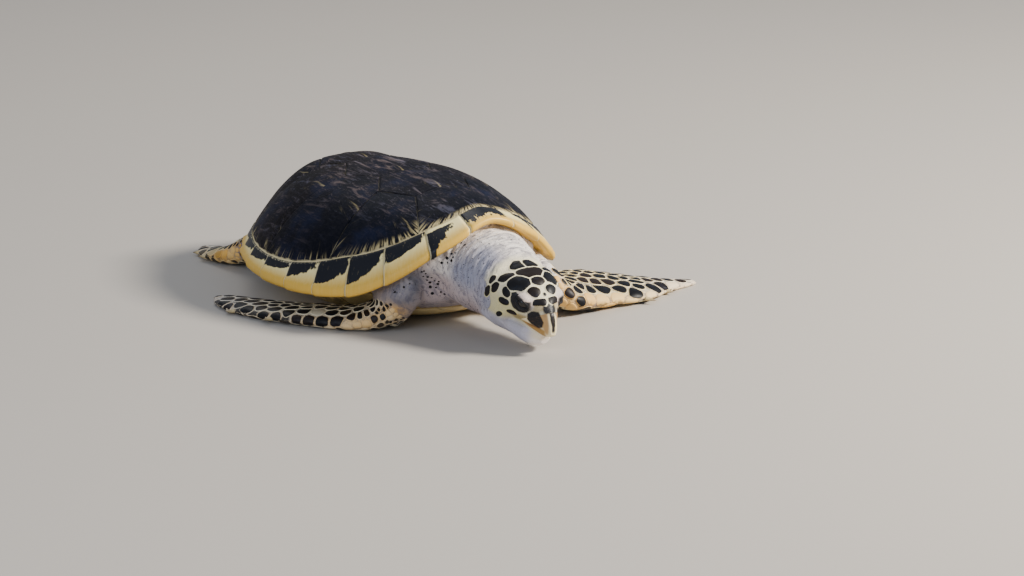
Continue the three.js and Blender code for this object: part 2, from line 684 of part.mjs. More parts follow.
// Adds a limb as two nodes that meet at its elbow or knee, the third station.
function addLimb(stations, claws, rows, columns, upperName, lowerName, cutters) {
  const made = joined([limb(stations, rows, columns), ...claws.map((size) => claw(stations, size))]);
  const whole = onFloor(made);
  const middleOf = (station) => vec(station[0]).lerp(vec(station[1]), 0.5);
  const joint = middleOf(stations[2]);
  const along = middleOf(stations[3]).sub(joint).normalize();
  add(upperName, cutBy(behind(whole, joint, along), cutters), "skin");
  add(lowerName, cutBy(inFront(whole, joint, along), cutters), "scaled");
}

const armRoom = [...trunkRoom, napeRoom];
for (const [name, stations] of Object.entries(frontLimbs))
  addLimb(stations, frontClaws, 22, 20, "upper_arm_" + name, "front_flipper_" + name, armRoom);
for (const [name, stations] of Object.entries(hindLimbs))
  addLimb(stations, hindClaws, 14, 16, "thigh_" + name, "hind_flipper_" + name, trunkRoom);

add("tail", cutBy(onFloor(tube(tail, 10, 12)), trunkRoom), "skin");

export default turtle;
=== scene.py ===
"""A life-size hawksbill sea turtle, resting on its plastron with its head lowered."""

import itertools
import math
import random

import bmesh
import bpy
import numpy as np
from bpy.props import FloatProperty, FloatVectorProperty, IntProperty, PointerProperty
from mathutils import Matrix, Vector
from mathutils.bvhtree import BVHTree
from mathutils.kdtree import KDTree


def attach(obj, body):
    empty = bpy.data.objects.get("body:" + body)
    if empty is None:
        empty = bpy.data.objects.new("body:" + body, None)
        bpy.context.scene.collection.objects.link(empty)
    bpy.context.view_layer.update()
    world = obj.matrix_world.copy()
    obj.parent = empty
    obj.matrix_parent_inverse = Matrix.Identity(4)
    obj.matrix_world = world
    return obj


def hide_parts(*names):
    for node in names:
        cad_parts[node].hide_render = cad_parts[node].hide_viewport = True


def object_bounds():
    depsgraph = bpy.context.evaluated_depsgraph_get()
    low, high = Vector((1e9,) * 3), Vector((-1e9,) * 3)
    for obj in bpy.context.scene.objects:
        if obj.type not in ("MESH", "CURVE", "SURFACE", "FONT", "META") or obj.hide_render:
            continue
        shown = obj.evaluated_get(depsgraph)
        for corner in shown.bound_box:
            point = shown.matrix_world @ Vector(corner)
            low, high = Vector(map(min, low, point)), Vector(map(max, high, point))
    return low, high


bl_info = {
    "name": "Hawksbill turtle",
    "version": (1, 0, 0),
    "blender": (4, 5, 0),
    "location": "View3D > Sidebar > Turtle",
    "description": "Dresses a life-size hawksbill turtle: shell, skin, scales, beak, eyes and claws",
    "category": "Object",
}

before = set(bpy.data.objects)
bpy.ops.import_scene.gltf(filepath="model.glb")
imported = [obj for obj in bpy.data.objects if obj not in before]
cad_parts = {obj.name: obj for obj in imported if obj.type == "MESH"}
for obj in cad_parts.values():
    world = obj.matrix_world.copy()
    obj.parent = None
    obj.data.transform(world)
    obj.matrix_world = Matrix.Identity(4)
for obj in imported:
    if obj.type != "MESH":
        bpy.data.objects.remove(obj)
cad_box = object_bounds()
MM = 0.001

# ---------------------------------------------------------------- the shell's form, in millimetres

SHELL_LENGTH = 480
HALF_LENGTH = 240
HALF_WIDTH = 184.8
DOME_TOP = 161.28
VAULT_TOP = 96
RIM_THICKNESS = 6
PLASTRON_THICKNESS = 9
FLAT_SHARE = 0.62  # how much of the plastron, from its middle, lies flat
GROUND_GAP = 1.2


def profile(*pairs):
    """A smooth curve through (position, value) pairs, level before the first and after the last."""
    xs, ys = np.array(pairs, float).T
    slopes = np.zeros(len(xs))
    slopes[1:-1] = (ys[2:] - ys[:-2]) / (xs[2:] - xs[:-2])

    def value(position):
        x = np.clip(position, xs[0], xs[-1])
        i = np.clip(np.searchsorted(xs, x, side="right") - 1, 0, len(xs) - 2)
        span = xs[i + 1] - xs[i]
        t = (x - xs[i]) / span
        bow = t * (1 - t) * span * ((1 - t) * slopes[i] - t * slopes[i + 1])
        return ys[i] + (ys[i + 1] - ys[i]) * t * t * (3 - 2 * t) + bow

    return value


def rise(low, high, value):
    """0 below low, 1 above high, and smooth between."""
    t = np.clip((value - low) / (high - low), 0, 1)
    return t * t * (3 - 2 * t)


rim_height = profile((0, 146), (20, 119), (40, 77), (56, 54), (90, 44), (130, 45), (180, 40))
margin_start = profile(
    (0, 0.86), (55, 0.875), (72, 0.91), (90, 0.935), (130, 0.93), (160, 0.89), (180, 0.87)
)
fullness = profile((0, 3), (50, 2.9), (90, 2.7), (135, 2.9), (160, 4), (180, 3.6))
serration = profile((56, 0), (95, 0.004), (149, 0.02), (172, 0.012), (180, 0.004))
plastron_reach = profile(
    (0, 0.41), (24, 0.385), (40, 0.31), (56, 0.325), (90, 0.325),
    (118, 0.315), (138, 0.29), (160, 0.36), (180, 0.385),
)  # fmt: skip
plastron_lift = profile((0, 30), (30, 30), (50, 44), (120, 44), (145, 16), (180, 9))


def rim(angle):
    """The shell's edge in plan, at an angle in degrees from the nose end, left positive."""
    c, s = np.cos(np.radians(angle)), np.sin(np.radians(angle))
    x = HALF_LENGTH * np.sign(c) * np.abs(c) ** 0.94 - 7 * np.exp(-((angle / 9) ** 2))
    return x, HALF_WIDTH * s * (1 + 0.05 * c - 0.06 * c * c)


def shell_place(x, y):
    """Angle and share of the way to the rim, for places in plan."""
    angle = np.degrees(np.arctan2(y / HALF_WIDTH, x / HALF_LENGTH))
    for _ in range(8):
        ex, ey = rim(angle)
        turn = np.arctan2(y, x) - np.arctan2(ey, ex)
        angle = angle + np.degrees(np.arctan2(np.sin(turn), np.cos(turn)))
    return angle, np.hypot(x, y) / np.hypot(*rim(angle))


def dome_height(x, y):
    """Height of the carapace, with a low keel, over places in plan."""
    angle, share = shell_place(x, y)
    edge = rim_height(np.abs(angle))
    swell = np.maximum(0, 1 - share ** fullness(np.abs(angle))) ** 0.9
    keel = 3 * np.exp(-np.abs(y) / 14) * swell
    return edge + (DOME_TOP - edge) * swell + keel - np.maximum(0, share - 1) * 60


def dome_normal(x, y):
    down_x = dome_height(x - 1, y) - dome_height(x + 1, y)
    down_y = dome_height(x, y - 1) - dome_height(x, y + 1)
    out = np.stack([down_x / 2, down_y / 2, np.ones_like(down_x)], axis=-1)
    return out / np.linalg.norm(out, axis=-1, keepdims=True)


def dome_point(x, y, lift):
    """Places on the dome, moved out from its surface by lift."""
    flat = np.stack([x, y, dome_height(x, y)], axis=-1)
    return flat + dome_normal(x, y) * np.asarray(lift)[..., None]


def vault_height(angle, share):
    """Height of the carapace's underside."""
    return VAULT_TOP + (rim_height(np.abs(angle)) - RIM_THICKNESS - VAULT_TOP) * share


def plastron_edge(angle):
    reach = plastron_reach(np.abs(angle)) * SHELL_LENGTH
    return np.cos(np.radians(angle)) * reach, np.sin(np.radians(angle)) * reach


def plastron_floor(angle, share):
    """Height of the plastron's lower face. At the bridge its edge meets the shell's underside."""
    place_angle, place_share = shell_place(*plastron_edge(angle))
    bridge = vault_height(place_angle, place_share) - PLASTRON_THICKNESS - 1.5
    on_bridge = rise(46, 28, np.abs(np.abs(angle) - 88))
    lift = plastron_lift(np.abs(angle))
    lift = lift + (bridge - lift) * on_bridge
    return GROUND_GAP + lift * np.clip((share - FLAT_SHARE) / (1 - FLAT_SHARE), 0, 1) ** 1.6


def plastron_point(x, y, lift):
    """Places on the plastron's lower face, moved down from it by lift."""
    angle = np.degrees(np.arctan2(y, x))
    share = np.hypot(x, y) / np.hypot(*plastron_edge(angle))
    return np.stack([x, y, plastron_floor(angle, share) - lift], axis=-1)


# ---------------------------------------------------------------- outlines of the scutes, in plan

COSTAL_SEAMS = (28, 65, 97, 126, 151)
SPINE_SEAMS = ((0.25, 0.083), (0.062, 0.079), (-0.125, 0.071), (-0.302, 0.046))
SPINE_CORNERS = ((0.145, 0.132), (-0.031, 0.129), (-0.208, 0.108))
MARGINAL_SEAMS = (10, 25.5, 42, 56, 69, 82, 95, 108, 121, 135, 149, 164, 180)
PLASTRON_SEAMS = (
    (0.4, 2), (0.33, 14), (0.23, 34), (0.08, 62), (-0.08, 106), (-0.22, 142), (-0.37, 177)
)  # fmt: skip


def along_margin(start, end, steps):
    """Points in plan along the line where the marginal scutes start."""
    found = []
    for i in range(steps + 1):
        angle = start + (end - start) * i / steps
        ex, ey = rim(angle)
        share = float(margin_start(abs((angle + 540) % 360 - 180)))
        found.append((ex * share, ey * share))
    return found


def across(outline):
    """The same outline on the other side of the midline."""
    return [(x, -y) for x, y in reversed(outline)]


def at(x, y):
    """A place in plan, given in shares of the shell's length."""
    return x * SHELL_LENGTH, y * SHELL_LENGTH


def large_scutes():
    """The five scutes of the spine and the four costals of each side, by name."""
    first, last = COSTAL_SEAMS[0], COSTAL_SEAMS[-1]
    spine = [at(*p) for p in SPINE_SEAMS]
    corner = [at(*p) for p in SPINE_CORNERS]
    found = {"spine_1": along_margin(-first, first, 6) + [spine[0]] + across([spine[0]])}
    for i in range(3):
        side = [spine[i], corner[i], spine[i + 1]]
        found[f"spine_{i + 2}"] = side + across(side)
    found["spine_5"] = [spine[3]] + along_margin(last, 360 - last, 6) + across([spine[3]])
    for i in range(4):
        outline = along_margin(COSTAL_SEAMS[i], COSTAL_SEAMS[i + 1], 4)
        outline += [corner[i]] if i < 3 else []
        outline += [spine[i]]
        outline += [corner[i - 1]] if i > 0 else []
        found[f"costal_{i + 1}_left"] = outline
        found[f"costal_{i + 1}_right"] = across(outline)
    return found


def plastron_plates():
    """The outlines of the plastron's paired plates."""
    found = []
    for i in range(len(PLASTRON_SEAMS) - 1):
        (front, start), (back, end) = PLASTRON_SEAMS[i], PLASTRON_SEAMS[i + 1]
        edge = [plastron_edge(start + (end - start) * t) for t in (0, 0.25, 0.5, 0.75, 1)]
        left = [at(front, 0)] + [(x * 0.95, y * 0.95) for x, y in edge] + [at(back, 0)]
        found += [left, across(left)]
    return found


# ---------------------------------------------------------------- meshes


def coordinates(bm):
    """The places of all vertices, in the mesh's own unit."""
    return np.array([vert.co for vert in bm.verts])


def places(bm_or_mesh):
    """The places of all vertices, in millimetres."""
    if isinstance(bm_or_mesh, bmesh.types.BMesh):
        return coordinates(bm_or_mesh).reshape(-1, 3) / MM
    co = np.empty(len(bm_or_mesh.vertices) * 3)
    bm_or_mesh.vertices.foreach_get("co", co)
    return co.reshape(-1, 3) / MM


def directions(bm_or_mesh):
    """The outward direction at each vertex."""
    if isinstance(bm_or_mesh, bmesh.types.BMesh):
        return np.array([vert.normal for vert in bm_or_mesh.verts])
    out = np.empty(len(bm_or_mesh.vertices) * 3)
    bm_or_mesh.vertex_normals.foreach_get("vector", out)
    return out.reshape(-1, 3)


def move_to(bm_or_mesh, points):
    """Puts the vertices at places given in millimetres."""
    points = np.asarray(points) * MM
    if isinstance(bm_or_mesh, bmesh.types.BMesh):
        for vert, point in zip(bm_or_mesh.verts, points.tolist()):
            vert.co = point
    else:
        bm_or_mesh.vertices.foreach_set("co", points.ravel())
        bm_or_mesh.update()


def note(bm, **columns):
    """Keeps a number, or one number or triple each, on the vertices for the materials to read."""
    for name, column in columns.items():
        column = np.asarray(column, float)
        if column.ndim == 0:
            column = np.full(len(bm.verts), column)
        layers = bm.verts.layers.float if column.ndim == 1 else bm.verts.layers.float_vector
        layer = layers.get(name) or layers.new(name)
        for vert, value in zip(bm.verts, column.tolist()):
            vert[layer] = value


def note_mesh(mesh, **columns):
    """The same as note, for a finished mesh."""
    for name, column in columns.items():
        column = np.asarray(column, float)
        single = column.ndim == 1
        layer = mesh.attributes.get(name) or mesh.attributes.new(
            name, "FLOAT" if single else "FLOAT_VECTOR", "POINT"
        )
        layer.data.foreach_set("value" if single else "vector", column.ravel())


def mesh_from(bm, name):
    mesh = bpy.data.meshes.new(name)
    bm.to_mesh(mesh)
    bm.free()
    return mesh


def make_piece(name, mesh, material, stands_for):
    """Puts a finished mesh into the scene as a piece that rides on the body, inside the solids' box."""
    low, high = (np.array(list(corner)) / MM for corner in cad_box)
    move_to(mesh, np.clip(places(mesh), low, high))
    mesh.name = name
    mesh.shade_smooth()
    mesh.materials.clear()
    mesh.materials.append(material)
    piece = bpy.data.objects.new(name, mesh)
    bpy.context.scene.collection.objects.link(piece)
    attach(piece, "root")
    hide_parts(*stands_for)


def skirt(bm, depth):
    """Draws the open edge of a shell inwards by depth, closes it there and turns its faces out."""
    bm.normal_update()
    border = [edge for edge in bm.edges if edge.is_boundary]
    out = {vert: vert.normal.copy() for edge in border for vert in edge.verts}
    drawn = bmesh.ops.extrude_edge_only(bm, edges=border)
    for vert in drawn["geom"]:
        if isinstance(vert, bmesh.types.BMVert):
            root = next(e.other_vert(vert) for e in vert.link_edges if e.other_vert(vert) in out)
            vert.co = root.co - out[root] * depth
    bmesh.ops.holes_fill(bm, edges=[edge for edge in bm.edges if edge.is_boundary], sides=0)
    bmesh.ops.recalc_face_normals(bm, faces=bm.faces[:])


def edge_distance(points, outline):
    """Distance from places in plan to the nearest side of an outline."""
    corners = np.array(outline, float)
    nearest = np.full(len(points), 1e9)
    for a, b in zip(corners, np.roll(corners, -1, axis=0)):
        side = b - a
        t = np.clip(((points - a) @ side) / max(1e-9, side @ side), 0, 1)
        away = points - a - t[:, None] * side
        nearest = np.minimum(nearest, np.linalg.norm(away, axis=1))
    return nearest


def flat_face(outline, unit=1.0):
    """A mesh of one flat face that looks up, and that face."""
    bm = bmesh.new()
    face = bm.faces.new([bm.verts.new((x * unit, y * unit, 0)) for x, y in outline])
    face.normal_update()
    if face.normal.z < 0:
        bmesh.ops.reverse_faces(bm, faces=[face])
    return bm, face


def inset(bm, face, width):
    return bmesh.ops.inset_individual(bm, faces=[face], thickness=width, use_even_offset=True)


def bisect(bm, point, normal, near, **clear):
    everything = bm.verts[:] + bm.edges[:] + bm.faces[:]
    plane = {"plane_co": point, "plane_no": normal}
    return bmesh.ops.bisect_plane(bm, geom=everything, dist=near, **plane, **clear)


def cut_into_cells(bm, cell, near):
    """Cuts flat faces along a square net. Corners nearer than near to a line stay where they are."""
    for normal in (Vector((1, 0, 0)), Vector((0, 1, 0))):
        reach = [vert.co.dot(normal) for vert in bm.verts]
        for step in range(math.ceil(min(reach) / cell), math.ceil(max(reach) / cell)):
            bisect(bm, normal * (step * cell), normal, near)


def flat_scute(outline, gap, rings, cell):
    """A scute's outline in plan, drawn in by gap, with rings inside its edge and a net of cells."""
    bm, face = flat_face(outline, MM)
    bmesh.ops.delete(bm, geom=inset(bm, face, gap * MM)["faces"], context="FACES")
    for width in rings:
        inset(bm, face, width * MM)
    cut_into_cells(bm, cell * MM, 0.02 * MM)
    return bm


def face_along(bm, ways):
    """Turns the mesh round if its faces look, on the whole, against the way given for each."""
    bm.normal_update()
    if sum(face.normal.dot(way) * face.calc_area() for face, way in zip(bm.faces, ways)) < 0:
        bmesh.ops.reverse_faces(bm, faces=bm.faces[:])


def gather(name, pieces):
    """Joins small meshes into one."""
    pile = bmesh.new()
    for mesh in pieces:
        pile.from_mesh(mesh)
    for mesh in pieces:
        bpy.data.meshes.remove(mesh)
    return mesh_from(pile, name)


# ---------------------------------------------------------------- finishes


class Channel:
    """A socket of a finish's nodes, for sums written in Python."""

    def __init__(self, finish, socket):
        self.finish = finish
        self.socket = socket

    def maths(self, operation, *values):
        return self.finish.node("ShaderNodeMath", {"operation": operation}, values)

    def __add__(self, other):
        return self.maths("ADD", self, other)

    __radd__ = __add__

    def __sub__(self, other):
        return self.maths("SUBTRACT", self, other)

    def __rsub__(self, other):
        return self.maths("SUBTRACT", other, self)

    def __mul__(self, other):
        return self.maths("MULTIPLY", self, other)

    __rmul__ = __mul__

    def __truediv__(self, other):
        return self.maths("DIVIDE", self, other)

    def __pow__(self, other):
        return self.maths("POWER", self, other)

    def most(self, other):
        return self.maths("MAXIMUM", self, other)

    def rise(self, low, high, start=0.0, end=1.0):
        """start below low, end above high, and smooth between."""
        settings = {"interpolation_type": "SMOOTHSTEP"}
        values = {0: self, 1: low, 2: high, 3: start, 4: end}
        return self.finish.node("ShaderNodeMapRange", settings, values)


class Finish:
    """A material, with its constants set on the shader's own sockets."""

    def __init__(self, name, **constants):
        self.material = bpy.data.materials.new(name)
        self.material.use_nodes = True
        self.tree = self.material.node_tree
        self.shader = self.tree.nodes["Principled BSDF"]
        for socket, value in constants.items():
            self.shader.inputs[socket.replace("_", " ")].default_value = value

    def node(self, kind, settings=None, values=(), output=0):
        """A node of a kind, its settings made first and then its sockets' values or links."""
        made = self.tree.nodes.new(kind)
        for setting, value in (settings or {}).items():
            setattr(made, setting, value)
        for key, value in values.items() if isinstance(values, dict) else enumerate(values):
            if isinstance(value, Channel):
                self.tree.links.new(value.socket, made.inputs[key])
            else:
                made.inputs[key].default_value = value
        return Channel(self, made.outputs[output])

    def attribute(self, name, output="Fac"):
        return self.node("ShaderNodeAttribute", {"attribute_name": name}, output=output)

    def attributes(self, names):
        """Channels of single numbers, by their names with a space between."""
        return [self.attribute(name) for name in names.split()]

    def object_place(self):
        return self.node("ShaderNodeTexCoord", output="Object")

    def stretched(self, vector, scale):
        values = {"Vector": vector, "Scale": scale}
        return self.node("ShaderNodeMapping", {}, values)

    def noise(self, vector, scale, detail=3.0, roughness=0.5, distortion=0.0):
        values = {
            "Vector": vector, "Scale": scale, "Detail": detail,
            "Roughness": roughness, "Distortion": distortion,
        }  # fmt: skip
        return self.node("ShaderNodeTexNoise", {}, values)

    def cells(self, vector, scale, feature="DISTANCE_TO_EDGE"):
        values = {"Vector": vector, "Scale": scale}
        return self.node("ShaderNodeTexVoronoi", {"feature": feature}, values)

    def mix(self, share, first, second):
        """A colour between two, by share. Each is a channel, a setting's colour or a six-digit code."""
        ends = [end if isinstance(end, Channel) else opaque(end) for end in (first, second)]
        return self.node("ShaderNodeMix", {"data_type": "RGBA"}, {0: share, 6: ends[0], 7: ends[1]}, 2)

    def bump(self, height, distance, strength=1.0):
        """A bump of a height from 0 to 1, distance being in millimetres."""
        values = {"Height": height, "Distance": distance * MM, "Strength": strength}
        return self.node("ShaderNodeBump", {}, values)

    def done(self, **channels):
        for socket, channel in channels.items():
            self.tree.links.new(channel.socket, self.shader.inputs[socket.replace("_", " ")])
        return self.material


def shade(hex_code):
    """A colour from its usual six-digit code, as the linear values that shaders take."""
    parts = [int(hex_code[i : i + 2], 16) / 255 for i in (0, 2, 4)]
    return tuple(p / 12.92 if p < 0.04045 else ((p + 0.055) / 1.055) ** 2.4 for p in parts)


def opaque(colour):
    """A colour, or the colour of a six-digit code, with an alpha of 1."""
    return (*(shade(colour) if isinstance(colour, str) else tuple(colour)[:3]), 1.0)


def toward(base, colour, share):
    """A row of colours drawn toward a colour or a six-digit code, each by its own share."""
    colour = shade(colour) if isinstance(colour, str) else colour
    return base + (np.array(colour) - base) * np.asarray(share)[:, None]


def length_setting(name, description, millimetres):
    return FloatProperty(name=name, description=f"{description}, in millimetres", default=millimetres)


def colour_setting(name, description, code):
    return FloatVectorProperty(
        name=name, description=description, subtype="COLOR", size=3, min=0, max=1, default=shade(code)
    )


# ---------------------------------------------------------------- settings


class ShellSettings(bpy.types.PropertyGroup):
    """Sizes and colours of the carapace and plastron."""

    seam_width: length_setting("Seam width", "Width of the groove between scutes", 0.7)
    front_rise: length_setting("Front rise", "Height of a scute's front edge", 0.9)
    rear_rise: length_setting("Rear rise", "Height of a scute's rear edge", 2.3)
    cell: length_setting("Cell", "Size of the scutes' mesh cells", 4)
    dark_front: colour_setting("Front horn", "Blue-black horn of the front scutes", "060a16")
    dark_rear: colour_setting("Rear horn", "Browner horn of the rear scutes", "1a1616")
    streak: colour_setting("Streaks", "Pale streaks that fringe the scutes", "d6c592")
    seam: colour_setting("Seams", "Pale line in the seams", "cfc4a0")
    margin: colour_setting("Margin", "Cream of the marginal scutes", "f6e7a6")
    margin_edge: colour_setting("Margin's edge", "Golden outer edge of the marginal scutes", "dfb348")
    belly: colour_setting("Plastron", "Horn of the plastron", "e6c67c")
    belly_blotch: colour_setting("Plastron's blotches", "Dark blotches of the plastron", "4a3424")


class SkinSettings(bpy.types.PropertyGroup):
    """Sizes and colours of the skin."""

    voxel: length_setting("Voxel", "Size of the voxels that fuse the body", 2.2)
    swell: length_setting("Swell", "How far the solids grow before they fuse", 0.5)
    white: colour_setting("White", "White skin of the nape and shoulders", "faf3ec")
    pink: colour_setting("Pink", "Pinkish skin of the chest", "c9b5b4")
    # Painted shade: the blue-grey on the right side of the neck, which faces away from the key light.
    blue: colour_setting("Blue", "Bluish skin at the sides of the neck", "989cb2")
    grey: colour_setting("Grey", "Grey skin of the arms", "666a78")
    cream: colour_setting("Cream", "Cream between the scales", "f5e4b4")
    yellow: colour_setting("Yellow", "Yellow along the front edges of the limbs", "ecb24c")


class ScaleSettings(bpy.types.PropertyGroup):
    """Sizes and colours of the scales."""

    rise: length_setting("Rise", "Height of a scale", 0.7)
    border: length_setting("Border", "Width of a scale's cream border", 1.0)
    seed: IntProperty(name="Seed", description="Seed of the scales' scatter", default=5)
    black: colour_setting("Black", "Dark middle of the scales", "0c0d12")
    brown: colour_setting("Brown", "Brown tinge of some scales", "2a1d16")


class StageSettings(bpy.types.PropertyGroup):
    """The floor, lights and camera."""

    floor: colour_setting("Floor", "Colour of the plain floor", "b7b2ab")
    lens: length_setting("Lens", "Focal length of the camera", 116.5)
    key: FloatProperty(
        name="Key light", description="Power of the large soft light, in watts", default=330
    )


def settings_of(name):
    return getattr(bpy.context.scene, name)


# ---------------------------------------------------------------- the carapace

BED_DEPTH = 0.4  # how far the bed, and the scutes' edges, lie under the shell's own surface
SCUTE_SKIRT, PLATE_SKIRT, SCALE_SKIRT, SHIELD_SKIRT = 3.5, 3, 1.1, 1.2  # how deep their walls go
CROWN_HEIGHT = 0.91  # of the middle of a large scute over its edge


def rays_from(centre, points, reach, turns):
    """A direction round a growth centre, times turns, with the distance from it as the third."""
    away = points - np.array(centre)
    far = np.maximum(1e-6, np.linalg.norm(away, axis=1))
    share = far / reach
    return np.column_stack([away / far[:, None] * turns, share * 2.2]), share


def make_large_scutes(shell, rng):
    made = []
    for name, outline in large_scutes().items():
        bm = flat_scute(outline, shell.seam_width / 2, (0.5, 1.2, 2.4), shell.cell)
        flat = places(bm)[:, :2]
        corners = np.array(outline)
        edge = edge_distance(flat, outline) - shell.seam_width / 2
        front, back = corners[:, 0].max(), corners[:, 0].min()
        to_rear = (front - flat[:, 0]) / (front - back)
        middle = corners.mean(axis=0)
        side = np.sign(middle[1]) if "costal" in name else 0
        centre = middle + np.array([-0.18 * (front - back), -0.2 * side * np.ptp(corners[:, 1])])
        reach = np.linalg.norm(corners - centre, axis=1).mean()
        rays, growth = rays_from(centre, flat, reach, 24)
        lift = shell.front_rise + (shell.rear_rise - shell.front_rise) * to_rear
        lift = lift * rise(-0.4, 1.3, edge) ** 0.7 + CROWN_HEIGHT * rise(0, 26, edge) - BED_DEPTH
        points = dome_point(*flat.T, lift)
        _, share = shell_place(*flat.T)
        along_rim = bool(side) or name == "spine_1"
        outer = rise(0.6, 1.0, share) if along_rim else rise(0.75, 1.0, to_rear) * 0.45
        note(bm, edge=edge, growth=growth, rays=rays, outer=outer)
        note(bm, tone=rng.random(), rear=to_rear)
        move_to(bm, points)
        skirt(bm, SCUTE_SKIRT * MM)
        made.append(mesh_from(bm, name))
    return gather("large_scutes", made)


# The dark blotch of each marginal scute, from the neck to the tail: its width along the inner seam and
# how far it reaches toward the rim, as shares of the scute, then how blunt it is and how wide a pale
# strip parts it from the inner seam.
BLOTCHES = (
    (0.86, 1.15, 1.3, 0.17), (1.02, 0.64, 3.2, -1), (1.0, 0.92, 2.4, -1), (1.0, 0.86, 4.5, -1),
    (1.0, 0.74, 2.2, -1), (1.2, 0.6, 3.0, -1), (1.2, 0.64, 3.0, -1), (1.15, 0.7, 2.6, -1),
    (1.1, 0.72, 2.6, -1), (1.1, 0.74, 2.6, -1), (1.05, 0.74, 2.6, -1), (1.0, 0.74, 2.6, -1),
)  # fmt: skip
FIRST_LEFT_BLOTCH = (0.55, 1.0, 1.4, 0.05)
NUCHAL_BLOTCH = (0, 1, 1, -1)
MARGIN_TOP_END, MARGIN_UNDER_START = 0.42, 0.58  # shares of the way round a marginal scute
MARGIN_FOLD = 0.985  # where its rounded edge starts, as a share of the way to the rim
MARGIN_TIP = 1.003  # where that edge ends, but for the teeth
MARGIN_DEPTH = 26  # a marginal scute's depth that its pattern is drawn to, in millimetres
MARGIN_WALL = 1.6
UNDER_GAP = 0.5  # how far a marginal scute's lower half hangs under the shell


def marginal_spans():
    """Start and end angle, side and blotch of each marginal scute, with the nuchal last."""
    spans = [
        (start, end, side, blotch)
        for side in (1, -1)
        for start, end, blotch in zip(MARGINAL_SEAMS, MARGINAL_SEAMS[1:], BLOTCHES)
    ]
    spans[0] = (*spans[0][:3], FIRST_LEFT_BLOTCH)
    return [*spans, (-MARGINAL_SEAMS[0], MARGINAL_SEAMS[0], 1, NUCHAL_BLOTCH)]


def make_marginal(shell, start, end, side, blotch, tone):
    """One marginal scute: a sheet that starts at the inner seam, goes over the rim and back below."""
    nuchal = start < 0
    bm = bmesh.new()
    bmesh.ops.create_grid(bm, x_segments=14, y_segments=30, size=1)
    s, q = (coordinates(bm)[:, :2].T + 1) / 2
    length = math.dist(rim(float(start)), rim(float(end)))
    gap = shell.seam_width / 2
    s = gap / length + s * (1 - 2 * gap / length)
    angle = start + (end - start) * s
    begin = margin_start(np.abs(angle))
    inner = begin + gap / 200
    top = np.clip(q / MARGIN_TOP_END, 0, 1)
    turn = np.clip((q - MARGIN_TOP_END) / (MARGIN_UNDER_START - MARGIN_TOP_END), 0, 1) * math.pi
    low = np.clip((q - MARGIN_UNDER_START) / (1 - MARGIN_UNDER_START), 0, 1)
    tip = MARGIN_TIP + (0 if nuchal else serration(abs(end))) * s**2
    parts = [q < MARGIN_TOP_END, q > MARGIN_UNDER_START]
    going_out = inner + (MARGIN_FOLD - inner) * top
    coming_back = MARGIN_FOLD - (MARGIN_FOLD - begin) * low
    share = np.select(parts, [going_out, coming_back], MARGIN_FOLD + (tip - MARGIN_FOLD) * np.sin(turn))
    ex, ey = rim(angle)
    x, y = ex * share, ey * share
    over = dome_height(x, y)
    under = vault_height(angle, np.minimum(share, MARGIN_FOLD)) - UNDER_GAP
    fold_over = dome_height(ex * MARGIN_FOLD, ey * MARGIN_FOLD)
    fold_under = vault_height(angle, MARGIN_FOLD) - UNDER_GAP
    rounded_off = (fold_over + fold_under) / 2 + (fold_over - fold_under) / 2 * np.cos(turn)
    z = np.select(parts, [over, under], rounded_off)
    from_inner = np.where(q < 0.5, (share - begin) * np.hypot(ex, ey), np.inf)
    edge = np.minimum.reduce([s * length, (1 - s) * length, from_inner])
    lift = (0.7 + 1.3 * (0.5 if nuchal else s)) * rise(-0.3, 1.3, edge) ** 0.7 - BED_DEPTH
    out = np.column_stack([ex, ey, np.zeros(len(ex))]) / np.hypot(ex, ey)[:, None]
    on_top = q < 0.5
    flat_out = dome_normal(np.where(on_top, x, ex * MARGIN_FOLD), np.where(on_top, y, ey * MARGIN_FOLD))
    way = np.clip(turn / math.pi, 0, 1)[:, None]
    lean = flat_out * (1 - way) + np.array([0, 0, -1]) * way + out * (4 * way * (1 - way))
    lean /= np.linalg.norm(lean, axis=1, keepdims=True)
    points = np.column_stack([x, y, z]) + lean * lift[:, None]
    points[:, 1] *= side
    outward = np.where(q > 0.5, 1 + low * 0.8, (share - begin) / (1 - begin))
    place = np.column_stack([s * length, outward * MARGIN_DEPTH, angle * side])
    wide, deep, blunt, strip = blotch
    note(bm, edge=edge, across=s, outward=outward, tone=tone, place=place)
    note(bm, wide=wide, deep=deep, blunt=blunt, strip=strip)
    move_to(bm, points)
    if side > 0:
        bmesh.ops.reverse_faces(bm, faces=bm.faces[:])
    bmesh.ops.solidify(bm, geom=bm.faces[:], thickness=MARGIN_WALL * MM)
    bmesh.ops.recalc_face_normals(bm, faces=bm.faces[:])
    return mesh_from(bm, "marginal")


def make_marginals(shell, rng):
    made = [make_marginal(shell, *span, rng.random()) for span in marginal_spans()]
    return gather("marginal_scutes", made)


def round_bed(segments, rings):
    """A ball, and for each vertex its angle in plan, its share out and its share of the way down."""
    bm = bmesh.new()
    bmesh.ops.create_uvsphere(bm, u_segments=segments, v_segments=rings, radius=1)
    x, y, z = coordinates(bm).T
    down = np.arccos(np.clip(z, -1, 1)) / math.pi
    share = np.sin(np.clip(np.minimum(down, 1 - down) * 2, 0, 1) * math.pi / 2)
    return bm, np.degrees(np.arctan2(y, x)), share, down


def closed_bed(bm, points, pale, name):
    note(bm, pale=pale)
    move_to(bm, points)
    bmesh.ops.recalc_face_normals(bm, faces=bm.faces[:])
    return mesh_from(bm, name)


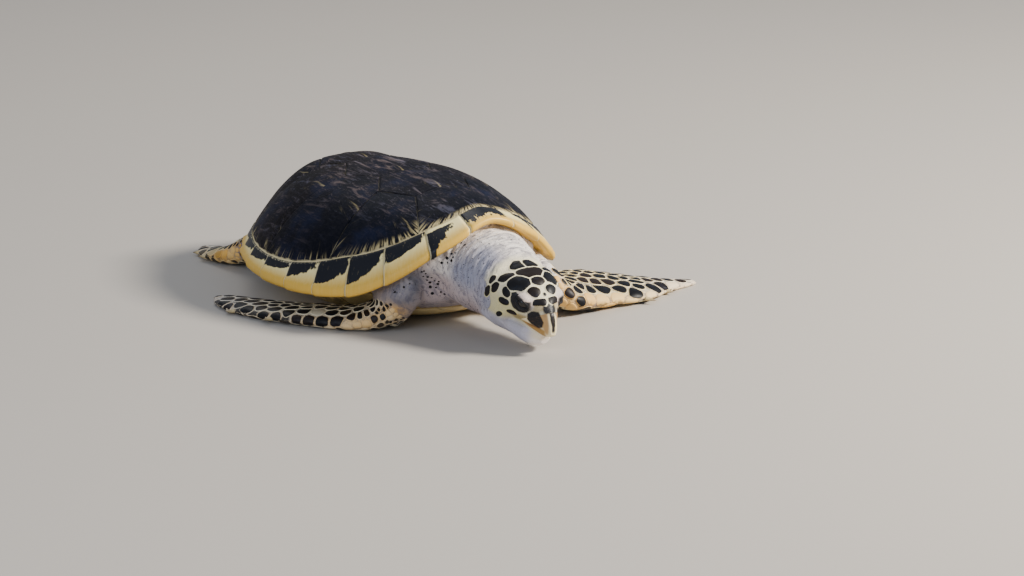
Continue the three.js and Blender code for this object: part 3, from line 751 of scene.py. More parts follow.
def make_shell_bed():
    """The closed bed under the scutes, which shows in the seams and inside the shell's openings."""
    bm, angle, share, down = round_bed(120, 32)
    share = share * MARGIN_FOLD
    ex, ey = rim(angle)
    over = dome_height(ex * share, ey * share) - BED_DEPTH
    under = vault_height(angle, share)
    z = np.select([down < 0.499, down > 0.501], [over, under], (over + under) / 2)
    points = np.column_stack([ex * share, ey * share, z])
    return closed_bed(bm, points, rise(0.72, 0.86, share), "shell_bed")


def carapace_horn(shell):
    finish = Finish("carapace horn", Specular_IOR_Level=0.06, Coat_Roughness=0.25)
    place = finish.object_place()
    edge, growth, outer, tone, rear = finish.attributes("edge growth outer tone rear")
    rays = finish.attribute("rays", "Vector")
    ahead, height = (finish.node("ShaderNodeSeparateXYZ", {}, {0: place}, axis) for axis in "XZ")
    broad = finish.noise(place, 14, 4, 0.6)
    fine = finish.noise(place, 220, 4, 0.65)
    drawn = finish.noise(finish.stretched(place, (20, 95, 110)), 1.0, 7, 0.7, 0.9)
    scratched = finish.noise(finish.stretched(place, (60, 300, 330)), 1.0, 4, 0.7, 1.2)
    to_tail = ahead.rise(0.1, -0.22)
    horn = finish.mix(to_tail + (broad - 0.5) * 0.9, shell.dark_front, shell.dark_rear)
    brown = finish.mix(tone * 0.3, horn, "1f1613")
    bluish = finish.mix(broad.rise(0.48, 0.7) * 0.6, brown, "18203a")
    # Paler bluish-grey and pinkish patches, most on the rear and the top of the shell: partly a worn
    # film on the horn, partly a painted wet sheen on the top.
    film_and_sheen_reach = to_tail * 0.55 + height.rise(0.11, 0.16) * 0.35 + 0.04
    worn = (drawn.rise(0.52, 0.68) * film_and_sheen_reach).most(scratched.rise(0.55, 0.72) * film_and_sheen_reach * 0.9)
    film_and_sheen_colour = finish.mix(broad.rise(0.4, 0.6), "6c6c80", "84746f")
    mottle = finish.mix(worn, bluish, film_and_sheen_colour)
    streaks = finish.noise(rays, 1.0, 4, 0.6)
    soft_streaks = finish.noise(rays, 0.35, 3, 0.5)
    tufts = soft_streaks.rise(0.42, 0.58)
    ahead_fringe = streaks.rise(0.44, 0.56) * edge.rise(11, 2)
    ahead_fringe = ahead_fringe * ahead.rise(0.1, 0.16) * outer.rise(0.3, 0.7)
    fringe = streaks.rise(0.54, 0.68) * outer.rise(0.35, 1.0) * edge.rise(9, 1) * (0.35 + tufts * 0.8)
    fringe = fringe.most(ahead_fringe)
    patches = soft_streaks.rise(0.6, 0.72) * growth.rise(0.45, 0.95) * streaks.rise(0.46, 0.6)
    pale = (fringe * 0.75).most(patches * 0.4)
    streaked = finish.mix(pale, mottle, shell.streak)
    grain = finish.mix(fine.rise(0.4, 0.8) * 0.1, streaked, "4d4a48")
    broken = finish.noise(place, 70, 2).rise(0.35, 0.62)
    seam = edge.rise(1.0, 0.2) * broken * outer.rise(0.3, 0.95, 0.12, 0.85)
    colour = finish.mix(seam, grain, shell.seam)
    rough = 0.48 + fine * 0.14 + drawn.rise(0.4, 0.7) * 0.16
    rings = edge.maths("SINE", edge * 0.8 + broad * 9)
    relief = rings * 0.05 + fine * 0.3 + streaks * 0.3 + drawn * 0.9 + scratched * 0.4
    normal = finish.bump(relief, 0.7, 0.9)
    coat = 0.01 + rear * 0.03
    return finish.done(Base_Color=colour, Roughness=rough, Coat_Weight=coat, Normal=normal)


def marginal_horn(shell):
    finish = Finish("marginal horn", Specular_IOR_Level=0.3, Coat_Roughness=0.25)
    place = finish.object_place()
    own = finish.attribute("place", "Vector")
    edge, from_front, outward, tone = finish.attributes("edge across outward tone")
    wide, deep, blunt, strip = finish.attributes("wide deep blunt strip")
    fine = finish.noise(place, 200, 4, 0.6)
    ragged = finish.noise(finish.stretched(own, (0.42, 0.16, 1)), 1.0, 4, 0.62)
    lobed = finish.noise(own, 0.13, 2, 0.5)
    gold = outward.rise(0.3, 1.05)
    pale = finish.mix(gold + (ragged - 0.5) * 0.5, shell.margin, shell.margin_edge)
    lobes = (ragged - 0.5) * 0.45 + (lobed - 0.5) * 0.65
    from_rear = 1 - from_front
    reach = wide * (1 - (outward.most(0.0) / deep) ** blunt) + lobes * 0.8
    blotch = (reach - from_rear).rise(-0.03, 0.05) * wide.rise(0.1, 0.3)
    blotch = blotch * (deep + lobes * 0.5 - outward).rise(0.0, 0.05)
    blotch = blotch * (outward + lobes * 0.25 - strip).rise(0.0, 0.05)
    neck_patch = wide.rise(0.3, 0.1) * (0.72 + lobes * 1.5 - outward).rise(-0.03, 0.04)
    neck_patch = neck_patch * outward.rise(0.94, 0.86)
    dark = blotch.most(neck_patch)
    horn = finish.mix(dark, pale, shell.dark_front)
    streaked = finish.mix(ragged.rise(0.62, 0.74) * dark * 0.25, horn, shell.streak)
    seam = (edge + (ragged - 0.5) * 4.2 + outward.rise(0.12, 0.02) * 0.8).rise(1.6, 0.4)
    colour = finish.mix(seam * 0.85, streaked, "ece0b6")
    rough = 0.38 + fine * 0.15 + tone * 0.05
    normal = finish.bump(fine * 0.5 + ragged * 0.5, 0.3, 0.7)
    coat = 0.06 + fine * 0.08
    return finish.done(Base_Color=colour, Roughness=rough, Coat_Weight=coat, Normal=normal)


def bed_horn():
    finish = Finish("shell bed")
    place = finish.object_place()
    broad = finish.noise(place, 40, 3)
    fine = finish.noise(place, 400, 3)
    pale = finish.attribute("pale")
    seams = finish.mix(pale, "1b1918", "e3d3a2")
    colour = finish.mix(broad.rise(0.3, 0.7) * pale * 0.3, seams, "a08c5c")
    normal = finish.bump(fine, 0.2, 0.6)
    return finish.done(Base_Color=colour, Roughness=0.5 + fine * 0.2, Normal=normal)


def plastron_horn(shell):
    finish = Finish("plastron horn", Coat_Roughness=0.2)
    place = finish.object_place()
    edge, tone, growth = finish.attributes("edge tone growth")
    rays = finish.attribute("rays", "Vector")
    broad = finish.noise(place, 22, 4, 0.6)
    streaks = finish.noise(rays, 0.7, 3, 0.6)
    fine = finish.noise(place, 260, 3, 0.6)
    tint = finish.mix(tone * 0.5 + broad * 0.4, shell.belly, "f0dca8")
    smudge = (broad + streaks * 0.5).rise(0.78, 0.98) * growth.rise(0.25, 0.8) * 0.75
    smudged = finish.mix(smudge, tint, shell.belly_blotch)
    worn = finish.mix(fine.rise(0.5, 0.8) * 0.3, smudged, "b98f4c")
    colour = finish.mix(edge.rise(1.2, 0.3) * 0.6, worn, "8b6b3c")
    normal = finish.bump(fine * 0.4 + streaks * 0.4, 0.3, 0.6)
    return finish.done(Base_Color=colour, Roughness=0.38 + fine * 0.2, Normal=normal)


def make_plastron_plates(shell, rng):
    made = []
    for number, outline in enumerate(plastron_plates()):
        bm = flat_scute(outline, shell.seam_width / 2, (0.6, 1.6), 8)
        flat = places(bm)[:, :2]
        edge = edge_distance(flat, outline) - shell.seam_width / 2
        corners = np.array(outline)
        reach = np.linalg.norm(corners - corners.mean(axis=0), axis=1).mean()
        rays, growth = rays_from(corners.mean(axis=0), flat, reach, 10)
        lift = 1.1 * rise(-0.4, 1.4, edge) ** 0.7
        note(bm, edge=edge, growth=growth, rays=rays, tone=rng.random())
        move_to(bm, plastron_point(*flat.T, lift))
        bmesh.ops.reverse_faces(bm, faces=bm.faces[:])
        skirt(bm, PLATE_SKIRT * MM)
        made.append(mesh_from(bm, f"plate_{number}"))
    return gather("plastron_scutes", made)


def make_plastron_bed():
    bm, angle, share, down = round_bed(96, 28)
    ex, ey = plastron_edge(angle)
    low = plastron_floor(angle, share)
    thickness = PLASTRON_THICKNESS * np.sqrt(np.clip(1 - share**6, 0, 1))
    z = np.where(down < 0.5, low + thickness, low + (PLASTRON_THICKNESS - thickness) * 0.5)
    return closed_bed(bm, np.column_stack([ex * share, ey * share, z]), 1.0, "plastron_bed")


class TURTLE_OT_carapace(bpy.types.Operator):
    """Makes the carapace: its bed, its large scutes and its marginal scutes"""

    bl_idname = "turtle.carapace"
    bl_label = "Carapace"

    def execute(self, context):
        shell = settings_of("turtle_shell")
        rng = random.Random(3)
        scutes = make_large_scutes(shell, rng)
        make_piece("carapace_scutes", scutes, carapace_horn(shell), ["carapace"])
        marginals = make_marginals(shell, rng)
        make_piece("marginal_scutes", marginals, marginal_horn(shell), ["carapace"])
        make_piece("shell_bed", make_shell_bed(), bed_horn(), ["carapace"])
        return {"FINISHED"}


class TURTLE_OT_plastron(bpy.types.Operator):
    """Makes the plastron: its bed and its plates"""

    bl_idname = "turtle.plastron"
    bl_label = "Plastron"

    def execute(self, context):
        shell = settings_of("turtle_shell")
        plates = make_plastron_plates(shell, random.Random(8))
        make_piece("plastron_scutes", plates, plastron_horn(shell), ["plastron"])
        make_piece("plastron_bed", make_plastron_bed(), bed_horn(), ["plastron"])
        return {"FINISHED"}


# ---------------------------------------------------------------- where the flesh lies, in millimetres

HEAD_MIDDLE = np.array([317.0, 7.0, 57.0])
HEAD_YAW, HEAD_PITCH = math.radians(-2), math.radians(22)
HEAD_TURN = np.array(Matrix.Rotation(HEAD_YAW, 3, "Z") @ Matrix.Rotation(HEAD_PITCH, 3, "Y"))

# Each limb's stations from its root to its tip: the leading edge, then the trailing edge.
ARM_RIGHT = (
    ((178, -58, 76), (100, -66, 72)), ((197, -88, 56), (108, -92, 52)),
    ((178, -108, 24), (104, -86, 24)),
    ((152, -142, 11), (84, -98, 12)), ((106, -180, 8), (46, -124, 8)), ((48, -214, 6), (2, -156, 6)),
    ((-10, -234, 4.5), (-36, -180, 5)), ((-56, -234, 3.5), (-68, -196, 4)),
    ((-80, -222, 3), (-82, -212, 3)),
)  # fmt: skip
ARM_LEFT = (
    ((176, 62, 80), (106, 66, 74)), ((217, 88, 52), (134, 93, 49)), ((242, 118, 21), (148, 118, 34)),
    ((241, 150, 13), (140, 148, 31)), ((237, 190, 9), (135, 186, 28)), ((238, 236, 7), (146, 232, 19)),
    ((217, 280, 5), (164, 278, 10)), ((206, 316, 4), (178, 318, 4)),
    ((201, 338, 3.5), (192, 338, 3.5)),
)  # fmt: skip
LEG_RIGHT = (
    ((-140, -112, 46), (-152, -58, 46)), ((-176, -130, 30), (-190, -66, 30)),
    ((-212, -140, 14), (-222, -72, 14)), ((-252, -146, 7), (-256, -80, 6)),
    ((-286, -138, 4), (-282, -92, 4)), ((-304, -122, 3.5), (-300, -108, 3.5)),
)  # fmt: skip
LEG_LEFT = tuple(tuple((x + 6, -y, z) for x, y, z in station) for station in LEG_RIGHT)
LIMBS = {"arm_right": ARM_RIGHT, "arm_left": ARM_LEFT, "leg_right": LEG_RIGHT, "leg_left": LEG_LEFT}
# Each claw's share of the way to the limb's tip, and its length.
CLAWS = {"arm": ((0.62, 10), (0.75, 7)), "leg": ((0.6, 7), (0.78, 5))}
FLIPPERS = ("front_flipper_right", "front_flipper_left", "hind_flipper_right", "hind_flipper_left")
FLESH = (
    "torso", "neck", "head", "lower_jaw", "upper_arm_right", "front_flipper_right",
    "upper_arm_left", "front_flipper_left", "thigh_right", "hind_flipper_right", "thigh_left",
    "hind_flipper_left", "tail",
)  # fmt: skip
FILLERS = ("upper_beak", "eye_left", "eye_right")  # horn and eyes that the skin closes under
LIMB_REACH = 31.0  # how far from a limb's chord its skin can lie
EYE_PLACE = (10, 21.5, 13)
EYE_RADIUS = 10.5
EYE_HALF_SLIT, EYE_HIGH, EYE_LOW = 9.2, 3.4, 4.6  # the almond between the lids
LID_THICKNESS, EYE_SINK = 1.0, 2.2


def to_head(points):
    return (np.asarray(points, float) - HEAD_MIDDLE) @ HEAD_TURN


def from_head(points):
    return np.asarray(points, float) @ HEAD_TURN.T + HEAD_MIDDLE


def along_limb(limb, t):
    """Points of a limb's leading and trailing edges, t being the share of the way to its tip."""
    stations = np.array(LIMBS[limb], float)
    steps = np.linspace(0, 1, len(stations))

    def edge(line):
        return np.stack([profile(*zip(steps, values))(t) for values in line.T], axis=-1)

    return edge(stations[:, 0]), edge(stations[:, 1])


def planted(points):
    """A tree that finds the nearest of some points."""
    tree = KDTree(len(points))
    for i, point in enumerate(points):
        tree.insert(point, i)
    tree.balance()
    return tree


def by_limb(number, values):
    """The value that stands for each limb's number, in the order of LIMBS."""
    return np.choose(number.astype(int).clip(0), values)


def lattice(limb):
    """A net of points over a limb's chord with the t, s and up direction of each."""
    t, s = np.meshgrid(np.linspace(0, 1, 90), np.linspace(0, 1, 24), indexing="ij")
    lead, trail = along_limb(limb, t.ravel())
    points = lead + (trail - lead) * s.ravel()[:, None]
    ahead, _ = along_limb(limb, np.clip(t.ravel() + 0.01, 0, 1))
    before, _ = along_limb(limb, np.clip(t.ravel() - 0.01, 0, 1))
    up = np.cross(ahead - before, trail - lead)
    up *= np.sign(up[:, 2:3] + 1e-9)
    up /= np.linalg.norm(up, axis=1, keepdims=True)
    return points, t.ravel(), s.ravel(), up, np.linalg.norm(trail - lead, axis=1)


def limb_places(points):
    """For each point: its limb's number or -1, share along, share across, side, way from the edge."""
    found = np.full((len(points), 5), -1.0)
    nearest = np.full(len(points), LIMB_REACH)
    for number, limb in enumerate(LIMBS):
        net, t, s, up, chord = lattice(limb)
        tree = planted(net)
        low, high = net.min(axis=0) - LIMB_REACH, net.max(axis=0) + LIMB_REACH
        for k in np.flatnonzero(np.all((points > low) & (points < high), axis=1)):
            _, i, far = tree.find(points[k])
            if far < nearest[k]:
                nearest[k] = far
                side = float(np.sign((points[k] - net[i]) @ up[i]))
                found[k] = number, t[i], s[i], side, s[i] * chord[i]
    return found


def inside_by(points, outline):
    """Distance in from an outline's edge, negative outside it."""
    corners = np.array(outline, float)
    x, y = points[:, 0], points[:, 1]
    inside = np.zeros(len(points), bool)
    for (ax, ay), (bx, by) in zip(corners, np.roll(corners, -1, axis=0)):
        crosses = (ay > y) != (by > y)
        reach = ax + (y - ay) * (bx - ax) / (by - ay if by != ay else 1e-9)
        inside ^= crosses & (x < reach)
    return edge_distance(points, outline) * np.where(inside, 1, -1)


# ---------------------------------------------------------------- the head's markings, in its own frame

SUPRAOCULAR = (
    (-16, 33), (-19.5, 29.5), (-19.5, 22.5), (-15, 15), (-7, 11.5), (0.5, 13.5), (3, 19), (-0.5, 25),
    (-5, 30), (-8.5, 33),
)  # fmt: skip
PARIETAL = ((-30, 37.5), (-33, 33), (-31, 28.5), (-25.5, 21), (-22.5, 21), (-22, 28.5), (-22.5, 33.5))
OCCIPITAL = ((-40, 15.5), (-43, 10.5), (-43, 2.5), (-39, 1.2), (-31.5, 2.5), (-31.5, 13), (-36, 17.5))
REAR_PREFRONTAL = (
    (6.5, 17.5), (5.5, 12.5), (7.5, 7), (10.5, 4.5), (15, 5), (18.5, 11), (14, 17), (9, 19.5),
)  # fmt: skip
FRONT_PREFRONTAL = (
    (20.5, 17), (20.5, 13), (22, 8), (23.3, 2.4), (27.5, 1.8), (30.3, 5.2), (26, 12.5), (22.7, 16.5),
)  # fmt: skip
FRONTAL_HALF = ((3.5, 0.4), (1.5, 5), (-1.5, 7.2), (-5.5, 6), (-8.2, 3), (-8.5, 0.4))
FRONTOPARIETAL_HALF = (
    (-9.8, 1), (-11, 7), (-13.5, 12), (-18.5, 16), (-24, 17.5), (-28.5, 10.5), (-28, 1),
)  # fmt: skip
PAIRED = (SUPRAOCULAR, PARIETAL, OCCIPITAL, REAR_PREFRONTAL, FRONT_PREFRONTAL)
# Dark ovals on the cheeks and the side of the neck: x, z, half length, half height, lean in degrees.
CHEEKS = (
    (-28, 11.4, 5.2, 6.6, 10), (-10.5, 15.6, 7.2, 4.6, -25), (-33, 3, 4, 7.4, 5), (-8, 4, 7.4, 4.2, 10),
    (-8.8, -15.2, 2.2, 3.2, 0), (3.6, -5.6, 6.6, 3.2, 18), (-37, 15.6, 3.4, 5, 20),
)  # fmt: skip
# Round the eye and in front of it, seen from the side: x and z.
EYE_DARK = (
    (-5, 17.5), (-4.6, 22.3), (1.5, 20.6), (8, 20.9), (15, 21), (20.7, 18.6), (23.4, 16.4), (25, 9.5),
    (21, 4.6), (12.9, 0.8), (5.5, 1.4), (0.2, 8),
)  # fmt: skip
SIDE_PATCH = (
    (22, 4), (24.5, 8.6), (31, 11.6), (35.4, 7.4), (41, 2), (41.6, -5), (36, -8.4), (29, -7.4),
    (23.2, -3.6),
)  # fmt: skip
OLIVE_PATCH = ((2, -9.5), (12, -3), (21.5, -0.5), (23, -7.5), (14, -14), (3, -16))
BEAK_TOP = ((22, 15.5), (29.7, 19), (36, 16), (31.6, 11), (24.6, 9))


HEAD_CREAM, CHEEK_OLIVE, CHIN_WHITE = "efe6c4", "d8cf9c", "e6e0dc"
# The throat's blue is a painted bluish shade at the sides of the throat, under the jaw.
THROAT_SHADE_BLUE, LID_PINK = "b2b2c6", "e9d6cc"


def oval(x, z, long, high, lean=0, points=12):
    """An ellipse about a place, its long axis leaning up by some degrees."""
    c, s = math.cos(math.radians(lean)), math.sin(math.radians(lean))
    ring = [(long * math.cos(a), high * math.sin(a)) for a in np.arange(points) * 2 * math.pi / points]
    return tuple((x + u * c - v * s, z + u * s + v * c) for u, v in ring)


CHEEK_OUTLINES = tuple(oval(*cheek) for cheek in CHEEKS)
CROWN = (
    *((*half, *across(half)) for half in (FRONTAL_HALF, FRONTOPARIETAL_HALF)),
    oval(17.5, 0, 1.7, 1.7, points=6), *PAIRED, *(tuple(across(outline)) for outline in PAIRED),
)  # fmt: skip


# ---------------------------------------------------------------- the skin


def fused(name, nodes, swell, voxel, passes, trim=None):
    """Copies of CAD solids, swollen, fused into one closed surface, smoothed and shrunk back."""
    bm = bmesh.new()
    for node in nodes:
        bm.from_mesh(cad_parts[node].data)
    bmesh.ops.remove_doubles(bm, verts=bm.verts[:], dist=1e-5)
    if trim:
        cut = bisect(bm, *trim, near=0, clear_inner=True)
        edges = [item for item in cut["geom_cut"] if isinstance(item, bmesh.types.BMEdge)]
        bmesh.ops.holes_fill(bm, edges=edges, sides=0)
    bm.normal_update()
    for vert in bm.verts:
        vert.co += vert.normal * swell * MM
    rough = bpy.data.objects.new(name, mesh_from(bm, name))
    bpy.context.scene.collection.objects.link(rough)
    remesh = rough.modifiers.new("fuse", "REMESH")
    remesh.mode, remesh.voxel_size, remesh.adaptivity = "VOXEL", voxel * MM, 0
    shown = rough.evaluated_get(bpy.context.evaluated_depsgraph_get())
    bm = bmesh.new()
    bm.from_mesh(shown.to_mesh())
    shown.to_mesh_clear()
    bpy.data.objects.remove(rough)
    smooth(bm, bm.verts[:], passes)
    bm.normal_update()
    for vert in bm.verts:
        vert.co -= vert.normal * swell * MM
    return bm


def smooth(bm, verts, passes):
    axes = {"use_axis_x": True, "use_axis_y": True, "use_axis_z": True}
    for _ in range(passes):
        bmesh.ops.smooth_vert(bm, verts=verts, factor=0.5, **axes)


def select(bm, chosen):
    return [vert for vert, keep in zip(bm.verts, chosen) if keep]


def refine_head(bm):
    """Splits the faces of the head once more."""
    middle, reach = np.array([5, 0, -3]), np.array([52, 48, 52])

    def within(reach):
        return select(bm, np.all(np.abs(to_head(places(bm)) - middle) < reach, axis=1))

    chosen = set(within(reach))
    edges = [edge for edge in bm.edges if edge.verts[0] in chosen and edge.verts[1] in chosen]
    bmesh.ops.subdivide_edges(bm, edges=edges, cuts=1, use_grid_fill=True)
    smooth(bm, within(reach - 2), 2)


def eye_axes(side):
    """The eye's middle, the way it looks, the line of its slit and the way its upper lid lies."""
    middle = np.array([EYE_PLACE[0], side * EYE_PLACE[1], EYE_PLACE[2]])
    look = np.array([0.55, side * 0.8, 0.17])
    look /= np.linalg.norm(look)
    slit = np.array([0.82, -side * 0.45, -0.36])
    slit -= look * (slit @ look)
    slit /= np.linalg.norm(slit)
    lid = np.cross(look, slit)
    lid *= np.sign(lid[2])
    return middle, look, slit, lid


def open_eyes(own):
    """Draws the skin back over each eyeball inside its almond, with a lid's edge round it."""
    for side in (1, -1):
        middle, look, slit, lid = eye_axes(side)
        away = own - middle
        far = np.linalg.norm(away, axis=1)
        a, b = away @ slit, away @ lid
        arch = 1 - np.clip(np.abs(a) / EYE_HALF_SLIT, 0, 1) ** 2
        inside = np.minimum(EYE_HIGH * arch - b, b + EYE_LOW * arch)
        inside = np.where(np.abs(a) < EYE_HALF_SLIT, inside, EYE_HALF_SLIT - 0.3 - np.abs(a))
        sunk = rise(-0.5, 0.9, inside)
        edge = np.exp(-((inside + 1.3) ** 2))
        crease = np.exp(-(((inside + 3.6) / 0.9) ** 2))
        radius = EYE_RADIUS + LID_THICKNESS + (0.7 * edge - 0.35 * crease) * (b > -5)
        wanted = radius * (1 - sunk) + (EYE_RADIUS - EYE_SINK) * sunk
        weight = rise(16, 13.2, far) * (away @ look > 0) * np.maximum(rise(-7, -2, inside), sunk)
        change = (wanted - far) * weight
        own += away / np.maximum(far, 1e-6)[:, None] * change[:, None]
    return own


THROAT_DROP = 9  # how far the skin of the chest sags toward the plastron
FLOOR_GAP = 0.1
MOUTH_LINE = ((-9, -24), (-3, -22), (5, -20.6), (15, -19.6), (25, -22), (33, -22), (43, -19), (50, -15))


def mouth_depth(own):
    """How near the line of the mouth each point lies."""
    line = profile(*MOUTH_LINE)(own[:, 0])
    near = np.exp(-(((own[:, 2] - line) / 0.9) ** 2))
    return near * rise(-10, -5, own[:, 0]) * rise(-60, -40, own[:, 2])


def fold_heights(points):
    """The folds round the neck and at the roots of the limbs."""
    x, y, z = points.T
    along = (x - 190) + 0.28 * (z - 70) + 0.12 * np.abs(y)
    wave = np.sin(along * 2 * math.pi / 7.5 + 1.4 * np.sin(z / 13) + 0.8 * np.sin(y / 9))
    fine = np.sin(along * 2 * math.pi / 4.1 + 1.1 * np.sin(y / 6 + z / 9))
    on_neck = rise(196, 214, x) * rise(292, 276, x) * rise(75, 60, np.abs(y - 4))
    arm = np.sin((x + y * 0.9 + z * 0.5) * 2 * math.pi / 9 + 1.3 * np.sin(z / 8)) * rise(205, 190, x)
    on_arm = rise(40, 62, np.abs(y)) * rise(125, 104, np.abs(y)) * rise(24, 40, z) * rise(100, 130, x)
    return 0.75 * wave * on_neck + 0.4 * fine * on_neck + 0.3 * arm * on_arm


# Colours of the skin from place to place: x, y, z, reach and the name of the colour.
SKIN_PLACES = (
    (244, 5, 128, 26, "white"), (262, 18, 110, 22, "white"), (225, 30, 130, 24, "white"),
    # The blue spots all lie on the right side of the neck: painted shade.
    (262, -24, 110, 12, "blue"), (272, -30, 100, 12, "blue"), (284, -34, 86, 12, "blue"),
    (240, -52, 88, 16, "blue"), (256, -46, 84, 14, "blue"), (286, -34, 58, 16, "blue"),
    (222, -50, 108, 14, "white"), (216, -58, 90, 12, "white"), (300, 0, 22, 24, "white"),
    (248, -20, 44, 26, "pink"), (212, -52, 62, 16, "pink"), (200, -60, 52, 14, "pink"),
    (240, 30, 60, 30, "pink"), (194, 91, 80, 24, "white"), (212, 96, 62, 16, "white"),
    (193, -93, 66, 16, "grey"), (182, -100, 50, 14, "grey"), (150, -90, 60, 24, "grey"),
    (181, -106, 30, 10, "yellow"), (170, -112, 22, 10, "cream"), (242, 122, 20, 14, "yellow"),
    (-180, -90, 40, 40, "grey"), (-180, 90, 40, 40, "grey"), (-200, 0, 30, 34, "grey"),
    (0, 0, 60, 110, "pink"), (-120, 0, 50, 60, "grey"),
)  # fmt: skip


def dotted(points):
    """Where the small dark scales of the shoulders crowd."""
    near = np.zeros(len(points))
    for x, y, z, _ in DOTS:
        for side in (1, -1):
            far = np.linalg.norm(points - np.array([x, y * side, z]), axis=1)
            near = np.maximum(near, rise(12, 5, far))
    return near


def blended_colours(points, spots, colours):
    """A smooth mix of the colours of the nearest spots."""
    total = np.full((len(points), 1), 1e-9)
    mixed = np.zeros((len(points), 3))
    for x, y, z, reach, name in spots:
        far = np.linalg.norm(points - np.array([x, y, z]), axis=1) / reach
        weight = (1 / (0.15 + far**3.2))[:, None]
        total += weight
        mixed += weight * np.array(colours[name])
    return mixed / total


def skin_colours(skin):
    names = ("white", "pink", "blue", "grey", "cream", "yellow")
    return {name: tuple(getattr(skin, name)) for name in names}


def smudge(points, scale, seed):
    """Soft noise from nine waves that cross, mostly from -1 to 1."""
    rng = np.random.default_rng(seed)
    total = np.zeros(len(points))
    for _ in range(9):
        way = rng.normal(size=3)
        way /= np.linalg.norm(way)
        wave = points @ way * 2 * math.pi / (scale * rng.uniform(0.7, 1.6))
        total += np.sin(wave + rng.uniform(0, 6.3))
    return total / 5


def limb_tints(colours, found, points):
    """Cream, with yellow along the front edge near the root, for the pale parts of the limbs."""
    number, along, _, _, from_edge = found.T
    # On the right flipper, number 0, the yellow near the root is halved: painted shade, as that flipper
    # lies in shade.
    near_root = rise(0.7, 0.34, along) * np.where(number == 0, 0.5, 1)
    yellow = rise(17, 2, from_edge) * (number >= 0) * (0.3 + 0.8 * near_root)
    yellow *= 0.8 + 0.3 * smudge(points, 40, 2)
    base = toward(np.array(colours["cream"]), colours["white"], rise(0.5, 0.95, along) * 0.7)
    # Painted shade: the right flipper's cream drawn toward grey, as that flipper lies in shade.
    base = toward(base, "d8d4cc", (number == 0) * 0.4)
    return toward(base, colours["yellow"], np.clip(yellow, 0, 1))


def head_tints(own):
    """The pale colours of the head: cream above, yellow-green on the cheeks, white below the jaw, and a
    painted bluish shade at the sides of the throat.
    """
    x, y, z = own.T
    off = np.abs(y)
    cheek = rise(14, 2, z) * rise(-48, -30, x) * rise(26, 8, x)
    tint = toward(np.array(shade(HEAD_CREAM)), CHEEK_OLIVE, cheek)
    tint = toward(tint, CHIN_WHITE, rise(-18, -28, z))
    # Painted shade: bluish at the sides of the throat, under the jaw.
    tint = toward(tint, THROAT_SHADE_BLUE, rise(-14, -22, z) * rise(10, 18, off) * rise(38, 22, x) * 0.8)
    for patch, code in ((OLIVE_PATCH, "98803f"), (BEAK_TOP, "b5a06c")):
        inside = rise(-2.5, 1.5, inside_by(own[:, [0, 2]], patch) + smudge(own, 11, 9))
        tint = toward(tint, code, inside * rise(5, 8, off) * 0.85)
    for side in (1, -1):
        middle, look, _, lid = eye_axes(side)
        away = own - middle
        near = rise(16.5, 13.5, np.linalg.norm(away, axis=1)) * rise(-2, 4, away @ look)
        tint = toward(tint, LID_PINK, rise(-1, 2, away @ lid) * near * 0.95)
    return tint


def head_darkness(own):
    """How dark the head's skin is, under its shields and round its eyes."""
    dark = np.zeros(len(own))
    on_top = rise(2, 10, own[:, 2])
    for outline in CROWN:
        dark = np.maximum(dark, rise(-0.4, 0.6, inside_by(own[:, :2], outline)) * on_top)
    sideways = own[:, [0, 2]]
    on_side = rise(16, 22, np.abs(own[:, 1]))
    for outline in CHEEK_OUTLINES:
        dark = np.maximum(dark, rise(-0.4, 0.6, inside_by(sideways, outline)) * on_side)
    wavy = 0.5 * smudge(own, 9, 4)
    eye = rise(-0.7, 0.5, inside_by(sideways, EYE_DARK) + wavy) * on_side
    patch = rise(-0.7, 0.5, inside_by(sideways, SIDE_PATCH) + wavy) * rise(4.5, 6, np.abs(own[:, 1]))
    return np.maximum.reduce([dark, eye, patch, nostril_darkness(own)])


def nostril_darkness(own):
    x, y, z = own.T
    spot = ((x - 33.5) / 4.4) ** 2 + ((np.abs(y) - 2.6) / 4.4) ** 2
    return np.clip(4 * np.exp(-spot), 0, 1) * rise(7, 10, z)


def make_skin(skin):
    """The skin as a mesh: one closed surface over the head, neck, limbs, tail and body."""
    bm = fused("skin", FLESH + FILLERS, skin.swell, skin.voxel, 3)
    points = places(bm)
    own = to_head(points)
    x, y, z = points.T
    joins = rise(290, 270, x) * rise(120, 150, x) * rise(130, 112, np.abs(y))
    smooth(bm, select(bm, joins > 0.5), 6)
    nape = np.abs(own[:, 0] + 30) < 11
    smooth(bm, select(bm, nape & (own[:, 2] > -40)), 5)
    refine_head(bm)
    points = places(bm)
    own = open_eyes(to_head(points))
    points = from_head(own)
    move_to(bm, points)
    bm.normal_update()
    out = directions(bm)
    jaw = (own[:, 0] > -12) & (own[:, 0] < 54) & (np.abs(own[:, 1]) < 40)
    lift = fold_heights(points) - 1.1 * mouth_depth(own) * jaw
    points = points + out * lift[:, None]
    x, y, z = points.T
    throat = rise(110, 150, x) * rise(250, 215, x) * rise(105, 85, np.abs(y)) * rise(70, 56, z)
    points[:, 2] = np.maximum(z - THROAT_DROP * throat * rise(-0.1, -0.5, out[:, 2]), FLOOR_GAP)
    move_to(bm, points)
    bmesh.ops.recalc_face_normals(bm, faces=bm.faces[:])
    return mesh_from(bm, "skin")


TUCKED = 5  # how near to the shell or plastron skin counts as hidden, in millimetres
WELL_INSIDE = 0.93  # as a share of the way to their edges
MOST_TRIANGLES = 192_000


